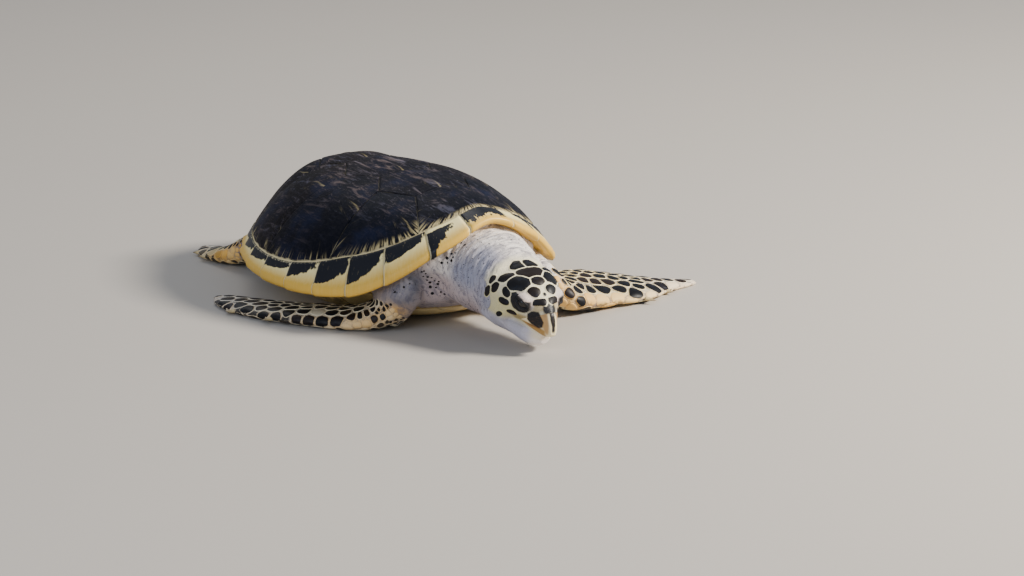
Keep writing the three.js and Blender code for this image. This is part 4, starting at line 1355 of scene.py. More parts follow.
def hidden(points):
    """Which places of the skin lie against the inside of the shell or of the plastron."""
    x, y, z = points.T
    angle, share = shell_place(x, y)
    under_shell = (z > vault_height(angle, share) - TUCKED) & (share < WELL_INSIDE)
    angle = np.degrees(np.arctan2(y, x))
    share = np.hypot(x, y) / np.hypot(*plastron_edge(angle))
    plastron_top = plastron_floor(angle, share) + PLASTRON_THICKNESS
    over_plastron = (z < plastron_top + TUCKED) & (share < WELL_INSIDE)
    return under_shell | over_plastron


def thinned(mesh, most_triangles):
    """Collapses skin that the shell and the plastron hide, down to a number of triangles in all."""
    holder = bpy.data.objects.new("thinned", mesh)
    bpy.context.scene.collection.objects.link(holder)
    group = holder.vertex_groups.new(name="hidden")
    group.add(np.flatnonzero(hidden(places(mesh))).tolist(), 1.0, "REPLACE")
    collapse = holder.modifiers.new("thin", "DECIMATE")
    collapse.vertex_group = group.name
    collapse.ratio = most_triangles / sum(len(polygon.vertices) - 2 for polygon in mesh.polygons)
    shown = holder.evaluated_get(bpy.context.evaluated_depsgraph_get())
    thin = bpy.data.meshes.new_from_object(shown)
    bpy.data.objects.remove(holder)
    return thin


def on_head(own):
    fade = own[:, 0] + 0.12 * own[:, 2] + 1.5 * smudge(own, 16, 5)
    return rise(-51, -39, fade) * (np.abs(own[:, 1]) < 47) * (np.abs(own[:, 2]) < 56)


def paint_skin(mesh, skin, pattern):
    """Keeps on the skin its pale colour, how dark it is, and where it is spotted or wrinkled."""
    points = places(mesh)
    own = to_head(points)
    colours = skin_colours(skin)
    found = limb_places(points)
    base = blended_colours(points, SKIN_PLACES, colours)
    limb = limb_tints(colours, found, points)
    past_start = found[:, 1] - by_limb(found[:, 0], TINTS_START)
    on_limb = (found[:, 0] >= 0) * rise(0, 0.1, past_start)
    base = toward(base, limb, on_limb)
    head = on_head(own)
    base = toward(base, head_tints(own), head)
    dark = np.maximum(pattern.darkness(points), head_darkness(own) * head)
    spotted = rise(185, 200, points[:, 0]) * rise(300, 285, points[:, 0]) * (1 - head) * 0.5
    spotted = np.maximum(spotted, dotted(points)) * (found[:, 1] < 0.3)
    wrinkled = np.maximum(rise(100, 190, points[:, 0]), (found[:, 0] >= 0) * 0.7) * (1 - head)
    note_mesh(mesh, paint=base, dark=dark, spotted=spotted, wrinkled=wrinkled)


def skin_finish(scale):
    finish = Finish("skin", Specular_IOR_Level=0.25, Coat_Roughness=0.3)
    place = finish.object_place()
    paint = finish.attribute("paint", "Color")
    dark, spotted, wrinkled = finish.attributes("dark spotted wrinkled")
    broad = finish.noise(place, 30, 4, 0.6)
    fine = finish.noise(place, 500, 4, 0.65)
    grain = finish.cells(place, 420)
    folds = finish.noise(finish.stretched(place, (330, 60, 80)), 1.0, 5, 0.62, 0.7)
    creases = finish.noise(finish.stretched(place, (130, 34, 44)), 1.0, 4, 0.6, 1.0)
    tinted = finish.mix(broad.rise(0.35, 0.7) * 0.25, paint, "b7adae")
    # Darker lines in the valleys of the folds and creases: painted shade in the creases.
    crease_shade_lines = (folds.rise(0.5, 0.36) * 0.7).most(creases.rise(0.47, 0.36) * 0.6) * wrinkled
    shaded = finish.mix(crease_shade_lines, tinted, "626274")
    pitted = finish.mix(grain.rise(0.07, 0.0) * 0.3, shaded, "8d8276")
    speckle_on = finish.noise(place, 45, 2).rise(0.42, 0.52)
    large_speckles = finish.cells(place, 190, "F1").rise(0.19, 0.11)
    small_speckles = finish.cells(place, 420, "F1").rise(0.26, 0.16) * 0.8
    speckles = large_speckles.most(small_speckles) * speckle_on * spotted.rise(0.0, 0.5) * 0.9
    black = finish.mix(fine * 0.3, scale.black, "3b3a40")
    colour = finish.mix(dark.most(speckles), pitted, black)
    relief = (folds * 0.9 + creases * 1.1) * wrinkled + grain.rise(0, 0.15) * 0.2 + fine * 0.12
    rough = 0.5 + fine * 0.2 - dark * 0.14
    normal = finish.bump(relief, 1.3, 1.0)
    coat = 0.04 + dark * 0.06
    return finish.done(Base_Color=colour, Roughness=rough, Coat_Weight=coat, Normal=normal)


class TURTLE_OT_skin(bpy.types.Operator):
    """Makes the skin and the scales over the limbs and head"""

    bl_idname = "turtle.skin"
    bl_label = "Skin and scales"

    def execute(self, context):
        skin, scale = settings_of("turtle_skin"), settings_of("turtle_scales")
        mesh = make_skin(skin)
        surface = Surface(mesh)
        pattern = Pattern(surface, scale)
        paint_skin(mesh, skin, pattern)
        make_piece("skin", thinned(mesh, MOST_TRIANGLES), skin_finish(scale), FLESH)
        horn = scale_horn(scale)
        coat = make_limb_scales(surface, pattern, skin, scale)
        make_piece("limb_scales", coat, horn, FLIPPERS)
        shields = make_head_shields(surface, scale)
        make_piece("head_shields", shields, horn, ["head"])
        return {"FINISHED"}


# ---------------------------------------------------------------- scales


class Surface:
    """The skin as something to lay scales on."""

    def __init__(self, mesh):
        self.points = places(mesh)
        self.out = directions(mesh)
        self.faces = [tuple(polygon.vertices) for polygon in mesh.polygons]
        self.tree = BVHTree.FromPolygons([Vector(p) for p in self.points], self.faces)

    def outward(self, face):
        return self.out[list(self.faces[face])].mean(axis=0)

    def nearest(self, point):
        place, _, face, _ = self.tree.find_nearest(Vector(point))
        return np.array(place), self.outward(face)

    def along(self, start, way):
        place, _, face, _ = self.tree.ray_cast(Vector(start), Vector(way))
        return (np.array(place), self.outward(face)) if place else (None, None)


# Middles of large scales on the upper side of the front flippers: x, y, z and size, in millimetres.
LARGE_SCALES = (
    (216, 111, 54, 12), (175, 156, 35, 12), (205, 133, 38, 14), (192, 164, 32, 13), (219, 144, 32, 13),
    (236, 114, 34, 15), (223, 153, 28, 13), (219, 176, 24, 17), (198, 179, 28, 14), (219, 205, 20, 15),
    (199, 198, 25, 12), (206, 220, 21, 12), (214, 234, 18, 14), (228, 220, 16, 14), (218, 255, 14, 15),
    (167, 229, 22, 12), (184, 218, 24, 12), (183, 231, 22, 11), (185, 251, 18, 12), (190, 265, 16, 11),
    (209, 275, 12, 13), (152, 183, 31, 12), (158, 195, 29, 12), (157, 213, 26, 12), (242, 129, 21, 9),
    (161, 156, 35, 12), (176, 200, 27, 12), (172, 180, 30, 12), (190, 145, 36, 12),
    (-52, -196, 7, 24), (-48, -217, 8, 12), (-30, -186, 9, 12), (-12, -176, 9, 12), (106, -124, 22, 11),
    (120, -116, 26, 9), (145, -137, 21, 9), (107, -136, 20, 10), (149, -130, 24, 8), (152, -122, 29, 9),
    (163, -126, 19, 7), (139, -144, 19, 9), (169, -118, 23, 7), (145, -117, 32, 8), (128, -128, 24, 10),
)  # fmt: skip
# Small dark scales on the right shoulder and the side of the neck: x, y, z and radius.
DOTS = (
    (202, -76, 79, 1.4), (200, -72, 74, 1.7), (197, -67, 66, 1.7), (195, -65, 60, 1.9),
    (192, -60, 52, 2.3), (198, -52, 53, 1.2), (200, -47, 51, 1.3), (201, -63, 68, 1.3),
    (201, -58, 64, 1.7), (203, -58, 67, 1.2), (215, -61, 94, 1.7), (219, -54, 100, 1.9),
    (225, -53, 98, 1.9), (221, -56, 95, 1.5), (222, -51, 106, 1.2), (226, -51, 102, 1.3),
    (226, -48, 107, 1.0), (230, -37, 117, 1.5), (225, -38, 118, 1.0), (201, -81, 82, 1.2),
    (203, -79, 83, 1.2), (198, -77, 75, 1.0), (201, -67, 73, 1.0), (198, -59, 59, 1.3),
    (197, -71, 69, 1.2), (237, -23, 123, 0.9), (245, -22, 121, 0.9), (253, -16, 120, 1.0),
    (179, -113, 40, 1.9), (186, -98, 62, 1.4), (180, -104, 54, 1.6), (190, -92, 66, 1.1),
)  # fmt: skip


# Where on each limb its scales, the dark under them and its tints start: shares of the way to its tip.
SCALES_START = (0.235, 0.15, 0.2, 0.2)
DARK_START = (0.23, 0.15, 0.19, 0.19)
TINTS_START = (0.2, 0.13, 0.2, 0.2)
SCALES_END = 0.995
LARGE_SCALE_ROOM = 1.35  # what a large scale's size is raised by, to keep others off
CLOSENESS = 0.46  # how near two seeds may lie, as a share of their sizes' sum
BIN = 24  # the side of the cubes that seeds are sorted into, in millimetres
AROUND = tuple(itertools.product((-1, 0, 1), repeat=3))


def scattered(points, sizes, order):
    """Seeds and sizes: the large scales, then each point in turn that isn't too near to a seed."""
    kept, bins = [], {}

    def keep(point, size):
        kept.append((point, size))
        bins.setdefault(tuple((point // BIN).astype(int)), []).append((point, size))

    def crowded(point, size):
        home = (point // BIN).astype(int)
        for step in AROUND:
            for other, reach in bins.get(tuple(home + step), ()):
                if np.sum((other - point) ** 2) < ((reach + size) * CLOSENESS) ** 2:
                    return True
        return False

    for *place, size in LARGE_SCALES:
        keep(np.array(place, float), size * LARGE_SCALE_ROOM)
    for k in order:
        if not crowded(points[k], sizes[k]):
            keep(points[k], sizes[k])
    return (np.array(column) for column in zip(*kept))


def relaxed(seeds, points):
    """The seeds after three steps toward the middle of the points each owns. Large scales stay."""
    seeds = seeds.copy()
    for _ in range(3):
        tree = planted(seeds)
        owner = np.array([tree.find(point)[1] for point in points])
        counts = np.bincount(owner, minlength=len(seeds))
        sums = np.zeros_like(seeds)
        np.add.at(sums, owner, points)
        moving = (counts > 0) & (np.arange(len(seeds)) >= len(LARGE_SCALES))
        seeds[moving] = seeds[moving] * 0.4 + sums[moving] / counts[moving][:, None] * 0.6
    return seeds


class Pattern:
    """The seeds of the limbs' scales, each with its size, darkness and place on the limb."""

    def __init__(self, surface, scale):
        self.border = scale.border
        rng = np.random.default_rng(scale.seed)
        points = surface.points
        number, t, _, side, lead = limb_places(points).T
        start = by_limb(number, SCALES_START)
        covered = (number >= 0) & (t > start) & (t < SCALES_END)
        rows = profile((0, 17), (20, 20), (40, 19), (60, 16), (90, 12))(lead)
        root = profile((0, 0.4), (0.08, 0.72), (0.2, 1), (0.6, 0.92), (0.8, 0.7))(t - start)
        limb = by_limb(number, (0.85, 1, 0.75, 0.75))
        spacing = np.maximum(4, rows * root * limb * np.where(side > 0, 1, 0.9))
        order = np.flatnonzero(covered)
        rng.shuffle(order)
        seeds, self.sizes = scattered(points, spacing, order)
        laid = [surface.nearest(seed) for seed in relaxed(seeds, points[order])]
        self.seeds, self.out = (np.array(column) for column in zip(*laid))
        self.tree = planted(self.seeds)
        self.found = limb_places(self.seeds)
        self.dark = self.darknesses(rng)

    def darknesses(self, rng):
        """Dark above, pale below but for a row near the front edge, and pale at the very edges."""
        number, t, _, side, lead = self.found.T
        count = len(self.seeds)
        above = np.where(rng.random(count) < 0.95, 1.0, 0.35)
        edge_pale = np.where(number == 1, rise(4, 8, lead), rise(1.5, 3, lead))
        outer_right = (number == 0) & (t > 0.4) & (rng.random(count) < 0.8)
        edge_pale = np.where(outer_right, 1.0, edge_pale)
        below = (rng.random(count) < 0.75) * rise(34, 16, np.abs(lead - 18)) * 0.95
        dark = np.where(side > 0, above * edge_pale, below * edge_pale)
        dark = np.where(number >= 0, dark, 0)
        dark[: len(LARGE_SCALES)] = 1
        return dark

    def darkness(self, points):
        """How dark the skin is under the scales, at each point."""
        found = limb_places(points)
        on_limb = (found[:, 0] >= 0) & (found[:, 1] > by_limb(found[:, 0], DARK_START))
        dark = np.zeros(len(points))
        for k in np.flatnonzero(on_limb):
            (first, i, far), (second, _, farther) = self.tree.find_n(points[k], 2)
            edge = (farther**2 - far**2) / (2 * max(1e-6, (second - first).length))
            dark[k] = self.dark[i] * min(1, max(0, (edge - self.border) / 0.8))
        return dark


def flat_axes(out, along):
    """Two directions that lie flat under an outward one, the first as near as can be to along."""
    first = along - out * (along @ out)
    first /= max(1e-9, np.linalg.norm(first))
    return first, np.cross(out, first)


def small_cell(offsets, reach, fine):
    """A cell halfway to its neighbours, with rounded corners, about the origin and in millimetres."""
    bm = bmesh.new()
    bmesh.ops.create_circle(bm, cap_ends=True, segments=14 if fine else 9, radius=reach)
    for offset in offsets:
        half = Vector((*offset, 0)) / 2
        if half.length > reach:
            continue
        bisect(bm, half, half.normalized(), 1e-3, clear_outer=True)
    if not bm.faces:
        return bm
    bmesh.ops.dissolve_limit(bm, angle_limit=0.12, verts=bm.verts[:], edges=bm.edges[:])
    long = reach * (0.35 if fine else 0.8)
    long_edges = [edge for edge in bm.edges if edge.calc_length() > long]
    bmesh.ops.subdivide_edges(bm, edges=long_edges, cuts=2 if fine else 1)
    smooth(bm, bm.verts[:], 2 if fine else 1)
    return bm


SCALE_GRAIN = np.array([0.3, 1.0, 0.1])  # the way along which each scale's own first axis lies
LEAST_AREA = 3  # of a scale, in square millimetres


def laying(surface, seed, out):
    """A function that lays a place of a flat scale, and a height over it, on the skin round a seed."""
    first, second = flat_axes(out, SCALE_GRAIN)

    def lay(u, v, height):
        place, way = surface.nearest(seed + first * u + second * v)
        return place + way * height

    return lay


def finish_scale(bm, lay, form, paint, root, patch):
    """Gives a flat scale its rings and height, lays it on the skin and closes it."""
    border, height, crown = form
    tone, dark, tint = paint
    face = max(bm.faces, key=lambda f: f.calc_area())
    outline = [(vert.co.x, vert.co.y) for vert in face.verts]
    inset(bm, face, 0.4)
    inset(bm, face, border)
    bmesh.ops.poke(bm, faces=[face])
    flat = coordinates(bm)[:, :2]
    edge = edge_distance(flat, outline)
    lift = -0.35 + (height + 0.35) * rise(-0.25, 0.7, edge) + crown * rise(0.3, 6, edge)
    laid = np.array([lay(u, v, h) for (u, v), h in zip(flat, lift)])
    laid[:, 2] = np.maximum(laid[:, 2], 0.2)
    note(bm, depth=edge - border, tone=tone, dark=dark, tint=np.tile(tint, (len(flat), 1)))
    across_scale = flat / max(1e-6, np.ptp(flat, axis=0).max()) * patch
    note(bm, chart=np.column_stack([across_scale + root, np.zeros(len(flat))]))
    move_to(bm, laid)
    up = Vector(lay(0, 0, 1.0) - lay(0, 0, 0.0))
    face_along(bm, [up] * len(bm.faces))
    skirt(bm, SCALE_SKIRT * MM)
    for vert in bm.verts:
        vert.co.z = max(vert.co.z, 0.1 * MM)
    return mesh_from(bm, "scale")


def neighbours(pattern, i):
    """Where the scales round a scale lie, flat and in millimetres from its seed."""
    seed, out = pattern.seeds[i], pattern.out[i]
    first, second = flat_axes(out, SCALE_GRAIN)
    offsets = []
    for other, k, far in pattern.tree.find_range(Vector(seed), pattern.sizes[i] * 2.4 + 6):
        if k != i and pattern.out[k] @ out > -0.2:
            away = np.array(other) - seed
            flat = np.array([away @ first, away @ second])
            length = np.linalg.norm(flat)
            if length > 0.5:
                offsets.append(flat / length * min(far, length * 1.25))
    return offsets


def make_limb_scales(surface, pattern, skin, scale):
    rng = random.Random(scale.seed)
    colours = skin_colours(skin)
    tints = limb_tints(colours, pattern.found, pattern.seeds)
    made = []
    for i in np.flatnonzero(pattern.found[:, 0] >= 0):
        size = float(pattern.sizes[i])
        cell = small_cell(neighbours(pattern, i), size * 0.8, size > 9)
        if not cell.faces or sum(face.calc_area() for face in cell.faces) < LEAST_AREA:
            cell.free()
            continue
        shrink = 1 - 0.2 / max(1.5, size * 0.5)
        bmesh.ops.scale(cell, vec=(shrink, shrink, 1), verts=cell.verts[:])
        form = min(scale.border, size * 0.1), scale.rise * min(1, size / 9), min(0.9, size * 0.05)
        paint = rng.random(), float(pattern.dark[i]), tints[i]
        number, t, s, side, _ = pattern.found[i]
        root = np.array([(number + 0.1 + 0.8 * s) / 4, 0.02 + 0.46 * t + 0.5 * (side > 0)])
        patch = min(0.009, max(0.003, size * 0.0006))
        lay = laying(surface, pattern.seeds[i], pattern.out[i])
        made.append(finish_scale(cell, lay, form, paint, root, patch))
    for k, (x, y, z, radius) in enumerate(DOTS):
        for side in (1, -1):
            cell = bmesh.new()
            reach = radius * rng.uniform(1.1, 1.4)
            bmesh.ops.create_circle(cell, cap_ends=True, segments=8, radius=reach)
            bmesh.ops.scale(cell, vec=(rng.uniform(0.85, 1.2), 1, 1), verts=cell.verts[:])
            paint = rng.random(), 1.0, colours["white"]
            root = np.array([0.012 + 0.0075 * k, 0.985 if side > 0 else 0.992])
            lay = laying(surface, *surface.nearest([x, y * side, z]))
            made.append(finish_scale(cell, lay, (0.12, 0.35, 0.2), paint, root, 0.003))
    return charted(gather("limb_scales", made))


def charted(mesh):
    """Turns the chart kept on the vertices into a map of the coat on the skin's own shape."""
    chart = np.empty(len(mesh.vertices) * 3)
    mesh.attributes["chart"].data.foreach_get("vector", chart)
    corner = np.empty(len(mesh.loops), dtype=np.int32)
    mesh.loops.foreach_get("vertex_index", corner)
    layer = mesh.uv_layers.new(name="OFBake")
    layer.data.foreach_set("uv", chart.reshape(-1, 3)[corner, :2].astype(np.float32).ravel())
    mesh.attributes.remove(mesh.attributes["chart"])
    return mesh


def rounded(outline):
    """A shield's outline with rounded corners and the same area, and the length of its side."""
    bm = bmesh.new()
    face = bm.faces.new([bm.verts.new((x, y, 0)) for x, y in outline])
    full = face.calc_area()
    bmesh.ops.subdivide_edges(bm, edges=[e for e in bm.edges if e.calc_length() > 3], cuts=3)
    smooth(bm, bm.verts[:], 1)
    face = max(bm.faces, key=lambda f: f.calc_area())
    line = np.array([vert.co[:2] for vert in face.verts])
    centre = line.mean(axis=0)
    line = centre + (line - centre) * math.sqrt(full / face.calc_area())
    bm.free()
    return line, centre, math.sqrt(full)


def onto_head(surface, u, v, side):
    """Where a place of the crown's plan, or of the cheek on a side, meets the skin, and the way out."""
    if side:
        start, way = (u, side * 90, v), (0, -side, 0)
    else:
        start, way = (u, v, 80), (0, 0, -1)
    return surface.along(from_head([start])[0], HEAD_TURN @ np.array(way, float))


def make_head_shields(surface, scale):
    """The large shields of the crown and cheeks, each dark, with pale lines between them."""
    rng = random.Random(scale.seed + 1)
    middle = Vector(HEAD_MIDDLE * MM)
    jobs = [(rounded(outline), 0) for outline in CROWN]
    jobs += [(rounded(outline), side) for side in (1, -1) for outline in CHEEK_OUTLINES]
    made = []
    for (line, centre, size), side in jobs:
        spread = 0.4 if side else 0.6 if centre[0] > 5 else 2.4
        rim_line = centre + (line - centre) * (1 + 2 * (spread + 0.9) / size)
        bm, face = flat_face(rim_line)
        inset(bm, face, 0.5)
        cut_into_cells(bm, 1.2, 0.05)
        flat = coordinates(bm)[:, :2]
        own = inside_by(flat, line)
        rest = [other for (other, _, _), its_side in jobs if its_side == side and other is not line]
        halfway = (own - np.max([inside_by(flat, other) for other in rest], axis=0)) / 2
        if not side:
            own = own - 1.6 * rise(25, 31, np.abs(flat[:, 1]))
        depth = np.minimum(own + spread, halfway - 0.95)
        edge = np.minimum(edge_distance(flat, rim_line), halfway)
        height = -0.3 + (scale.rise * 0.7 + 0.3) * rise(-0.2, 0.8, edge) + 0.35 * rise(0.5, 6, edge)
        hits = [onto_head(surface, u, v, side) for u, v in flat]
        laid = np.array([place + out * lift for (place, out), lift in zip(hits, height)])
        note(bm, depth=depth, tone=rng.random(), dark=1.0, tint=head_tints(to_head(laid)))
        move_to(bm, laid)
        face_along(bm, [face.calc_center_median() - middle for face in bm.faces])
        skirt(bm, SHIELD_SKIRT * MM)
        made.append(mesh_from(bm, "shield"))
    return gather("head_shields", made)


def scale_horn(scale):
    finish = Finish("scale horn", Specular_IOR_Level=0.18, Coat_Roughness=0.3)
    place = finish.object_place()
    depth, tone, dark = finish.attributes("depth tone dark")
    tint = finish.attribute("tint", "Color")
    broad = finish.noise(place, 90, 4, 0.6)
    fine = finish.noise(place, 600, 4, 0.65)
    ragged = (broad - 0.5) * 1.2 + (fine - 0.5) * 0.7
    mask = (depth + ragged).rise(-0.45, 0.2) * dark
    soft = finish.mix(tone.rise(0.6, 1.0) * 0.6, scale.black, scale.brown)
    sheen = finish.mix(broad.rise(0.5, 0.8) * 0.4, soft, "232a40")
    paler = finish.mix(fine.rise(0.4, 0.8) * 0.25, tint, "b9a67c")
    colour = finish.mix(mask, paler, sheen)
    rough = 0.46 - mask * 0.04 + fine * 0.16
    normal = finish.bump(fine * 0.6 + broad * 0.4, 0.25, 0.7)
    coat = 0.03 + mask * 0.03
    return finish.done(Base_Color=colour, Roughness=rough, Coat_Weight=coat, Normal=normal)


# ---------------------------------------------------------------- beak, eyes and claws


def upper_beak_paint(own):
    """Cream horn: a dark patch on each side, a dark streak down the ridge and an amber cutting edge."""
    x, y, z = own.T
    side = own[:, [0, 2]]
    off = np.abs(y)
    tan = rise(4.6, 6.6, off) * rise(29, 33, x) * rise(-6, 2, z - 38 + x) * 0.85
    ochre = np.exp(-(((x - 28) / 6) ** 2 + ((z - 10.5) / 4) ** 2)) * rise(6, 9, off) * 0.8
    lip = rise(-6.4, -10, z + 0.6 * smudge(own, 12, 7)) * rise(10, 18, x) * rise(48.5, 44, x) * 0.95
    smear = np.exp(-(((z + 9 - 0.1 * (x - 34)) / 1.6) ** 2)) * rise(20, 26, x) * rise(44, 38, x) * 0.8
    patch = rise(-1.2, 0.3, inside_by(side, SIDE_PATCH) + 0.7 * smudge(own, 7, 6)) * rise(4.5, 6, off)
    from_streak = off + 0.35 * smudge(own, 6, 8) - 2.1 - 1.2 * rise(-4, 8, z)
    streak = rise(0.5, -0.5, from_streak) * rise(34.5, 36.5, x) * rise(-9, -5, z)
    layers = (
        ("b08248", tan), ("b59a64", ochre), ("a8803f", lip), ("6b4020", smear), ("100f14", patch),
        ("121117", streak), ("220a10", nostril_darkness(own)),
    )  # fmt: skip
    paint = np.array(shade("efe0b4"))
    for code, share in layers:
        paint = toward(paint, code, share)
    return paint


def lower_beak_paint(own):
    x, y, z = own.T
    paint = toward(np.array(shade("efe7e0")), "e2d2ae", rise(-30, -24, z) * 0.6)
    # Painted shade: bluish at the sides of the throat, under the jaw.
    return toward(paint, THROAT_SHADE_BLUE, rise(38, 22, x) * rise(10, 18, np.abs(y)) * 0.8)


def horn_finish(name):
    finish = Finish(name, Specular_IOR_Level=0.28, Coat_Roughness=0.25)
    place = finish.object_place()
    paint = finish.attribute("paint", "Color")
    broad = finish.noise(place, 120, 4, 0.6)
    fine = finish.noise(place, 700, 4, 0.6)
    drawn = finish.noise(finish.stretched(place, (300, 300, 900)), 1.0, 4, 0.6)
    colour = finish.mix(drawn.rise(0.5, 0.75) * 0.25, paint, "8c6434")
    colour = finish.mix(broad.rise(0.6, 0.8) * 0.2, colour, "efe6cf")
    normal = finish.bump(fine * 0.4 + drawn * 0.6, 0.3, 0.7)
    rough = 0.38 + fine * 0.15
    coat = 0.08 + broad * 0.06
    return finish.done(Base_Color=colour, Roughness=rough, Coat_Weight=coat, Normal=normal)


def make_beak(part, node, thickness, paint, trim=None):
    """Horn that lies a little way out from a solid of the head."""
    horn = fused(f"{part}_beak_horn", [node], 0.75, 0.8, 4, trim)
    move_to(horn, places(horn) + directions(horn) * thickness)
    note(horn, paint=paint(to_head(places(horn))))
    name = f"beak_{part}"
    make_piece(name, mesh_from(horn, name), horn_finish(f"{part} beak horn"), [node])


class TURTLE_OT_beak(bpy.types.Operator):
    """Makes the horn of the upper beak and of the lower jaw"""

    bl_idname = "turtle.beak"
    bl_label = "Beak"

    def execute(self, context):
        make_beak("upper", "upper_beak", 0.55, upper_beak_paint)
        back = Vector(from_head([[17, 0, -20]])[0] * MM)
        ahead = Vector(HEAD_TURN @ np.array([1.0, 0, 0.15]))
        make_beak("lower", "lower_jaw", 0.35, lower_beak_paint, (back, ahead))
        return {"FINISHED"}


def eye_finish():
    finish = Finish("eye", Coat_Weight=0.5, Coat_Roughness=0.02, Roughness=0.15, Specular_IOR_Level=0.3)
    place = finish.object_place()
    pupil, iris = finish.attributes("pupil iris")
    fine = finish.noise(place, 900, 4, 0.6)
    brown = finish.mix(fine, "100d0d", "1c1512")
    colour = finish.mix(iris.rise(0.2, 0.8), "0d0c10", brown)
    colour = finish.mix(pupil.rise(0.3, 0.7), colour, "050506")
    return finish.done(Base_Color=colour)


class TURTLE_OT_eyes(bpy.types.Operator):
    """Makes the eyeballs, each with a slight bulge of its cornea"""

    bl_idname = "turtle.eyes"
    bl_label = "Eyes"

    def execute(self, context):
        finish = eye_finish()
        for name, side in (("left", 1), ("right", -1)):
            middle, look, slit, lid = eye_axes(side)
            bm = bmesh.new()
            bmesh.ops.create_uvsphere(bm, u_segments=48, v_segments=32, radius=1)
            ball = coordinates(bm)
            far = np.degrees(np.arccos(np.clip(ball[:, 2], -1, 1)))
            radius = EYE_RADIUS - 0.75 + 0.45 * rise(38, 8, far)
            own = middle + (ball * radius[:, None]) @ np.stack([slit, lid, look])
            note(bm, pupil=rise(20, 15, far), iris=rise(42, 36, far))
            move_to(bm, from_head(own))
            bmesh.ops.recalc_face_normals(bm, faces=bm.faces[:])
            make_piece("eyeball_" + name, mesh_from(bm, name), finish, ["eye_" + name])
        return {"FINISHED"}


def claw_finish():
    finish = Finish("claw horn")
    place = finish.object_place()
    along = finish.attribute("along")
    fine = finish.noise(place, 600, 4, 0.6)
    colour = finish.mix(along.rise(0.1, 0.9), "c9b27c", "6a5230")
    colour = finish.mix(fine * 0.3, colour, "efe4c0")
    normal = finish.bump(fine, 0.2, 0.6)
    return finish.done(Base_Color=colour, Roughness=0.3 + fine * 0.2, Normal=normal)


CLAW_ROOT, CLAW_TIP = 3.3, 0.35  # radii
CLAW_BURIED = 4.5  # what a claw's cone has beyond its length, to stand in the flesh


def make_claw(limb, share, length):
    """A claw on a limb's front edge, curved back a little."""
    (lead, ahead), (trail, _) = along_limb(limb, np.array([share, share + 0.02]))
    outward = (lead - trail) / np.linalg.norm(lead - trail)
    tangent = (ahead - lead) / np.linalg.norm(ahead - lead)
    way = outward + tangent
    way /= np.linalg.norm(way)
    whole = length + CLAW_BURIED
    radii = {"radius1": CLAW_ROOT, "radius2": CLAW_TIP}
    bm = bmesh.new()
    bmesh.ops.create_cone(bm, cap_ends=True, segments=16, depth=whole, **radii)
    sides = [edge for edge in bm.edges if abs(edge.verts[0].co.z - edge.verts[1].co.z) > 1]
    bmesh.ops.subdivide_edges(bm, edges=sides, cuts=9)
    cone = coordinates(bm)
    up = cone[:, 2] / whole + 0.5
    cone[:, :2] *= 1 + 0.35 * np.sin(up * math.pi)[:, None]
    cone[:, 1] *= 0.8
    cone[:, 0] -= 1.8 * up**2
    cone[:, 2] += length / 2 - 2
    points = lead + cone @ np.stack([*flat_axes(way, -outward), way])
    points[:, 2] = np.maximum(points[:, 2], 0.2)
    note(bm, along=up)
    move_to(bm, points)
    bmesh.ops.recalc_face_normals(bm, faces=bm.faces[:])
    return mesh_from(bm, "claw")


class TURTLE_OT_claws(bpy.types.Operator):
    """Makes the two claws on the front edge of each limb"""

    bl_idname = "turtle.claws"
    bl_label = "Claws"

    def execute(self, context):
        made = [make_claw(limb, *claw) for limb in LIMBS for claw in CLAWS[limb[:3]]]
        make_piece("claws", gather("claws", made), claw_finish(), FLIPPERS)
        return {"FINISHED"}


# ---------------------------------------------------------------- the stage


CAMERA_TURN, CAMERA_RISE = math.radians(57), math.radians(16)
CAMERA_AIM = Vector((0.081, 0.129, 0))
CAMERA_DISTANCE = 4.3
LIGHT_AIM = Vector((0.05, 0, 0.05))


def make_floor(stage):
    bm = bmesh.new()
    bmesh.ops.create_grid(bm, x_segments=2, y_segments=2, size=20)
    mesh = mesh_from(bm, "floor")
    finish = Finish("floor")
    grain = finish.noise(finish.object_place(), 3, 4, 0.6)
    colour = finish.mix(grain * 0.15, stage.floor, "a8a299")
    mesh.materials.append(finish.done(Base_Color=colour, Roughness=0.75 + grain * 0.1))
    floor = bpy.data.objects.new("floor", mesh)
    bpy.context.scene.collection.objects.link(floor)


def make_light(name, place, size, power, colour):
    data = bpy.data.lights.new(name, "AREA")
    data.shape, data.size, data.energy, data.color = "DISK", size, power, colour
    lamp = bpy.data.objects.new(name, data)
    lamp.location = place
    lamp.rotation_euler = (Vector(place) - LIGHT_AIM).to_track_quat("Z", "Y").to_euler()
    bpy.context.scene.collection.objects.link(lamp)


def make_sky():
    world = bpy.data.worlds.new("soft sky")
    world.use_nodes = True
    background = world.node_tree.nodes["Background"]
    background.inputs["Color"].default_value = (0.82, 0.88, 1.0, 1)
    background.inputs["Strength"].default_value = 0.34
    bpy.context.scene.world = world


def make_camera(stage):
    camera = bpy.data.objects.new("camera", bpy.data.cameras.new("camera"))
    bpy.context.scene.collection.objects.link(camera)
    flat = math.cos(CAMERA_RISE)
    back = Vector((math.sin(CAMERA_TURN) * flat, -math.cos(CAMERA_TURN) * flat, math.sin(CAMERA_RISE)))
    camera.location = CAMERA_AIM + back * CAMERA_DISTANCE
    camera.rotation_euler = back.to_track_quat("Z", "Y").to_euler()
    camera.data.lens = stage.lens
    camera.data.sensor_width = 36
    camera.data.clip_end = 60
    bpy.context.scene.camera = camera


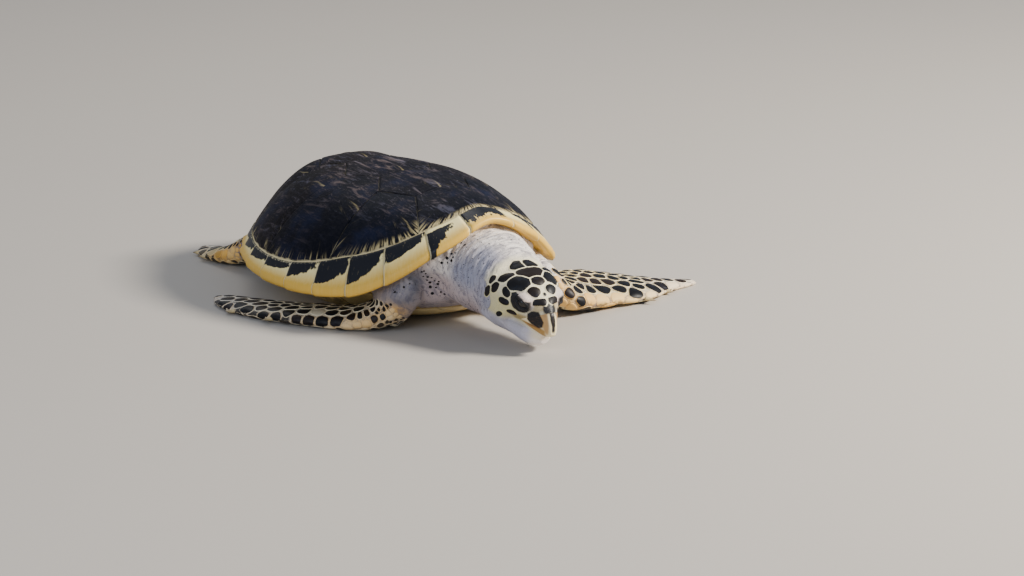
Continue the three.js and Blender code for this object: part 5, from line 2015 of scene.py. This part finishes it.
class TURTLE_OT_stage(bpy.types.Operator):
    """Makes the floor, the soft lights and the camera"""

    bl_idname = "turtle.stage"
    bl_label = "Stage"

    def execute(self, context):
        stage = settings_of("turtle_stage")
        make_floor(stage)
        make_light("key", (2.2, 2.4, 2.2), 0.8, stage.key, (1.0, 0.93, 0.83))
        make_light("fill", (1.4, -2.8, 1.6), 2.4, stage.key * 0.13, (0.78, 0.86, 1.0))
        make_light("rear", (-2.0, 0.4, 2.4), 1.6, stage.key * 0.05, (1.0, 0.98, 0.95))
        make_sky()
        make_camera(stage)
        return {"FINISHED"}


class TURTLE_PT_sidebar(bpy.types.Panel):
    """The turtle's settings and pieces"""

    bl_idname = "TURTLE_PT_sidebar"
    bl_label = "Hawksbill turtle"
    bl_space_type = "VIEW_3D"
    bl_region_type = "UI"
    bl_category = "Turtle"

    def draw(self, context):
        for name, kind in SETTINGS.items():
            group = getattr(context.scene, name)
            box = self.layout.box()
            for setting in kind.__annotations__:
                box.prop(group, setting)
        for operator in OPERATORS:
            self.layout.operator(operator.bl_idname)


SETTINGS = {
    "turtle_shell": ShellSettings,
    "turtle_skin": SkinSettings,
    "turtle_scales": ScaleSettings,
    "turtle_stage": StageSettings,
}
OPERATORS = (
    TURTLE_OT_carapace,
    TURTLE_OT_plastron,
    TURTLE_OT_skin,
    TURTLE_OT_beak,
    TURTLE_OT_eyes,
    TURTLE_OT_claws,
    TURTLE_OT_stage,
)
CLASSES = (*SETTINGS.values(), *OPERATORS, TURTLE_PT_sidebar)


def register():
    for kind in CLASSES:
        bpy.utils.register_class(kind)
    for name, kind in SETTINGS.items():
        setattr(bpy.types.Scene, name, PointerProperty(type=kind))


def unregister():
    for name in SETTINGS:
        delattr(bpy.types.Scene, name)
    for kind in reversed(CLASSES):
        bpy.utils.unregister_class(kind)


def main():
    register()
    bpy.ops.turtle.carapace()
    bpy.ops.turtle.plastron()
    bpy.ops.turtle.skin()
    bpy.ops.turtle.beak()
    bpy.ops.turtle.eyes()
    bpy.ops.turtle.claws()
    bpy.ops.turtle.stage()


if __name__ == "__main__":
    main()
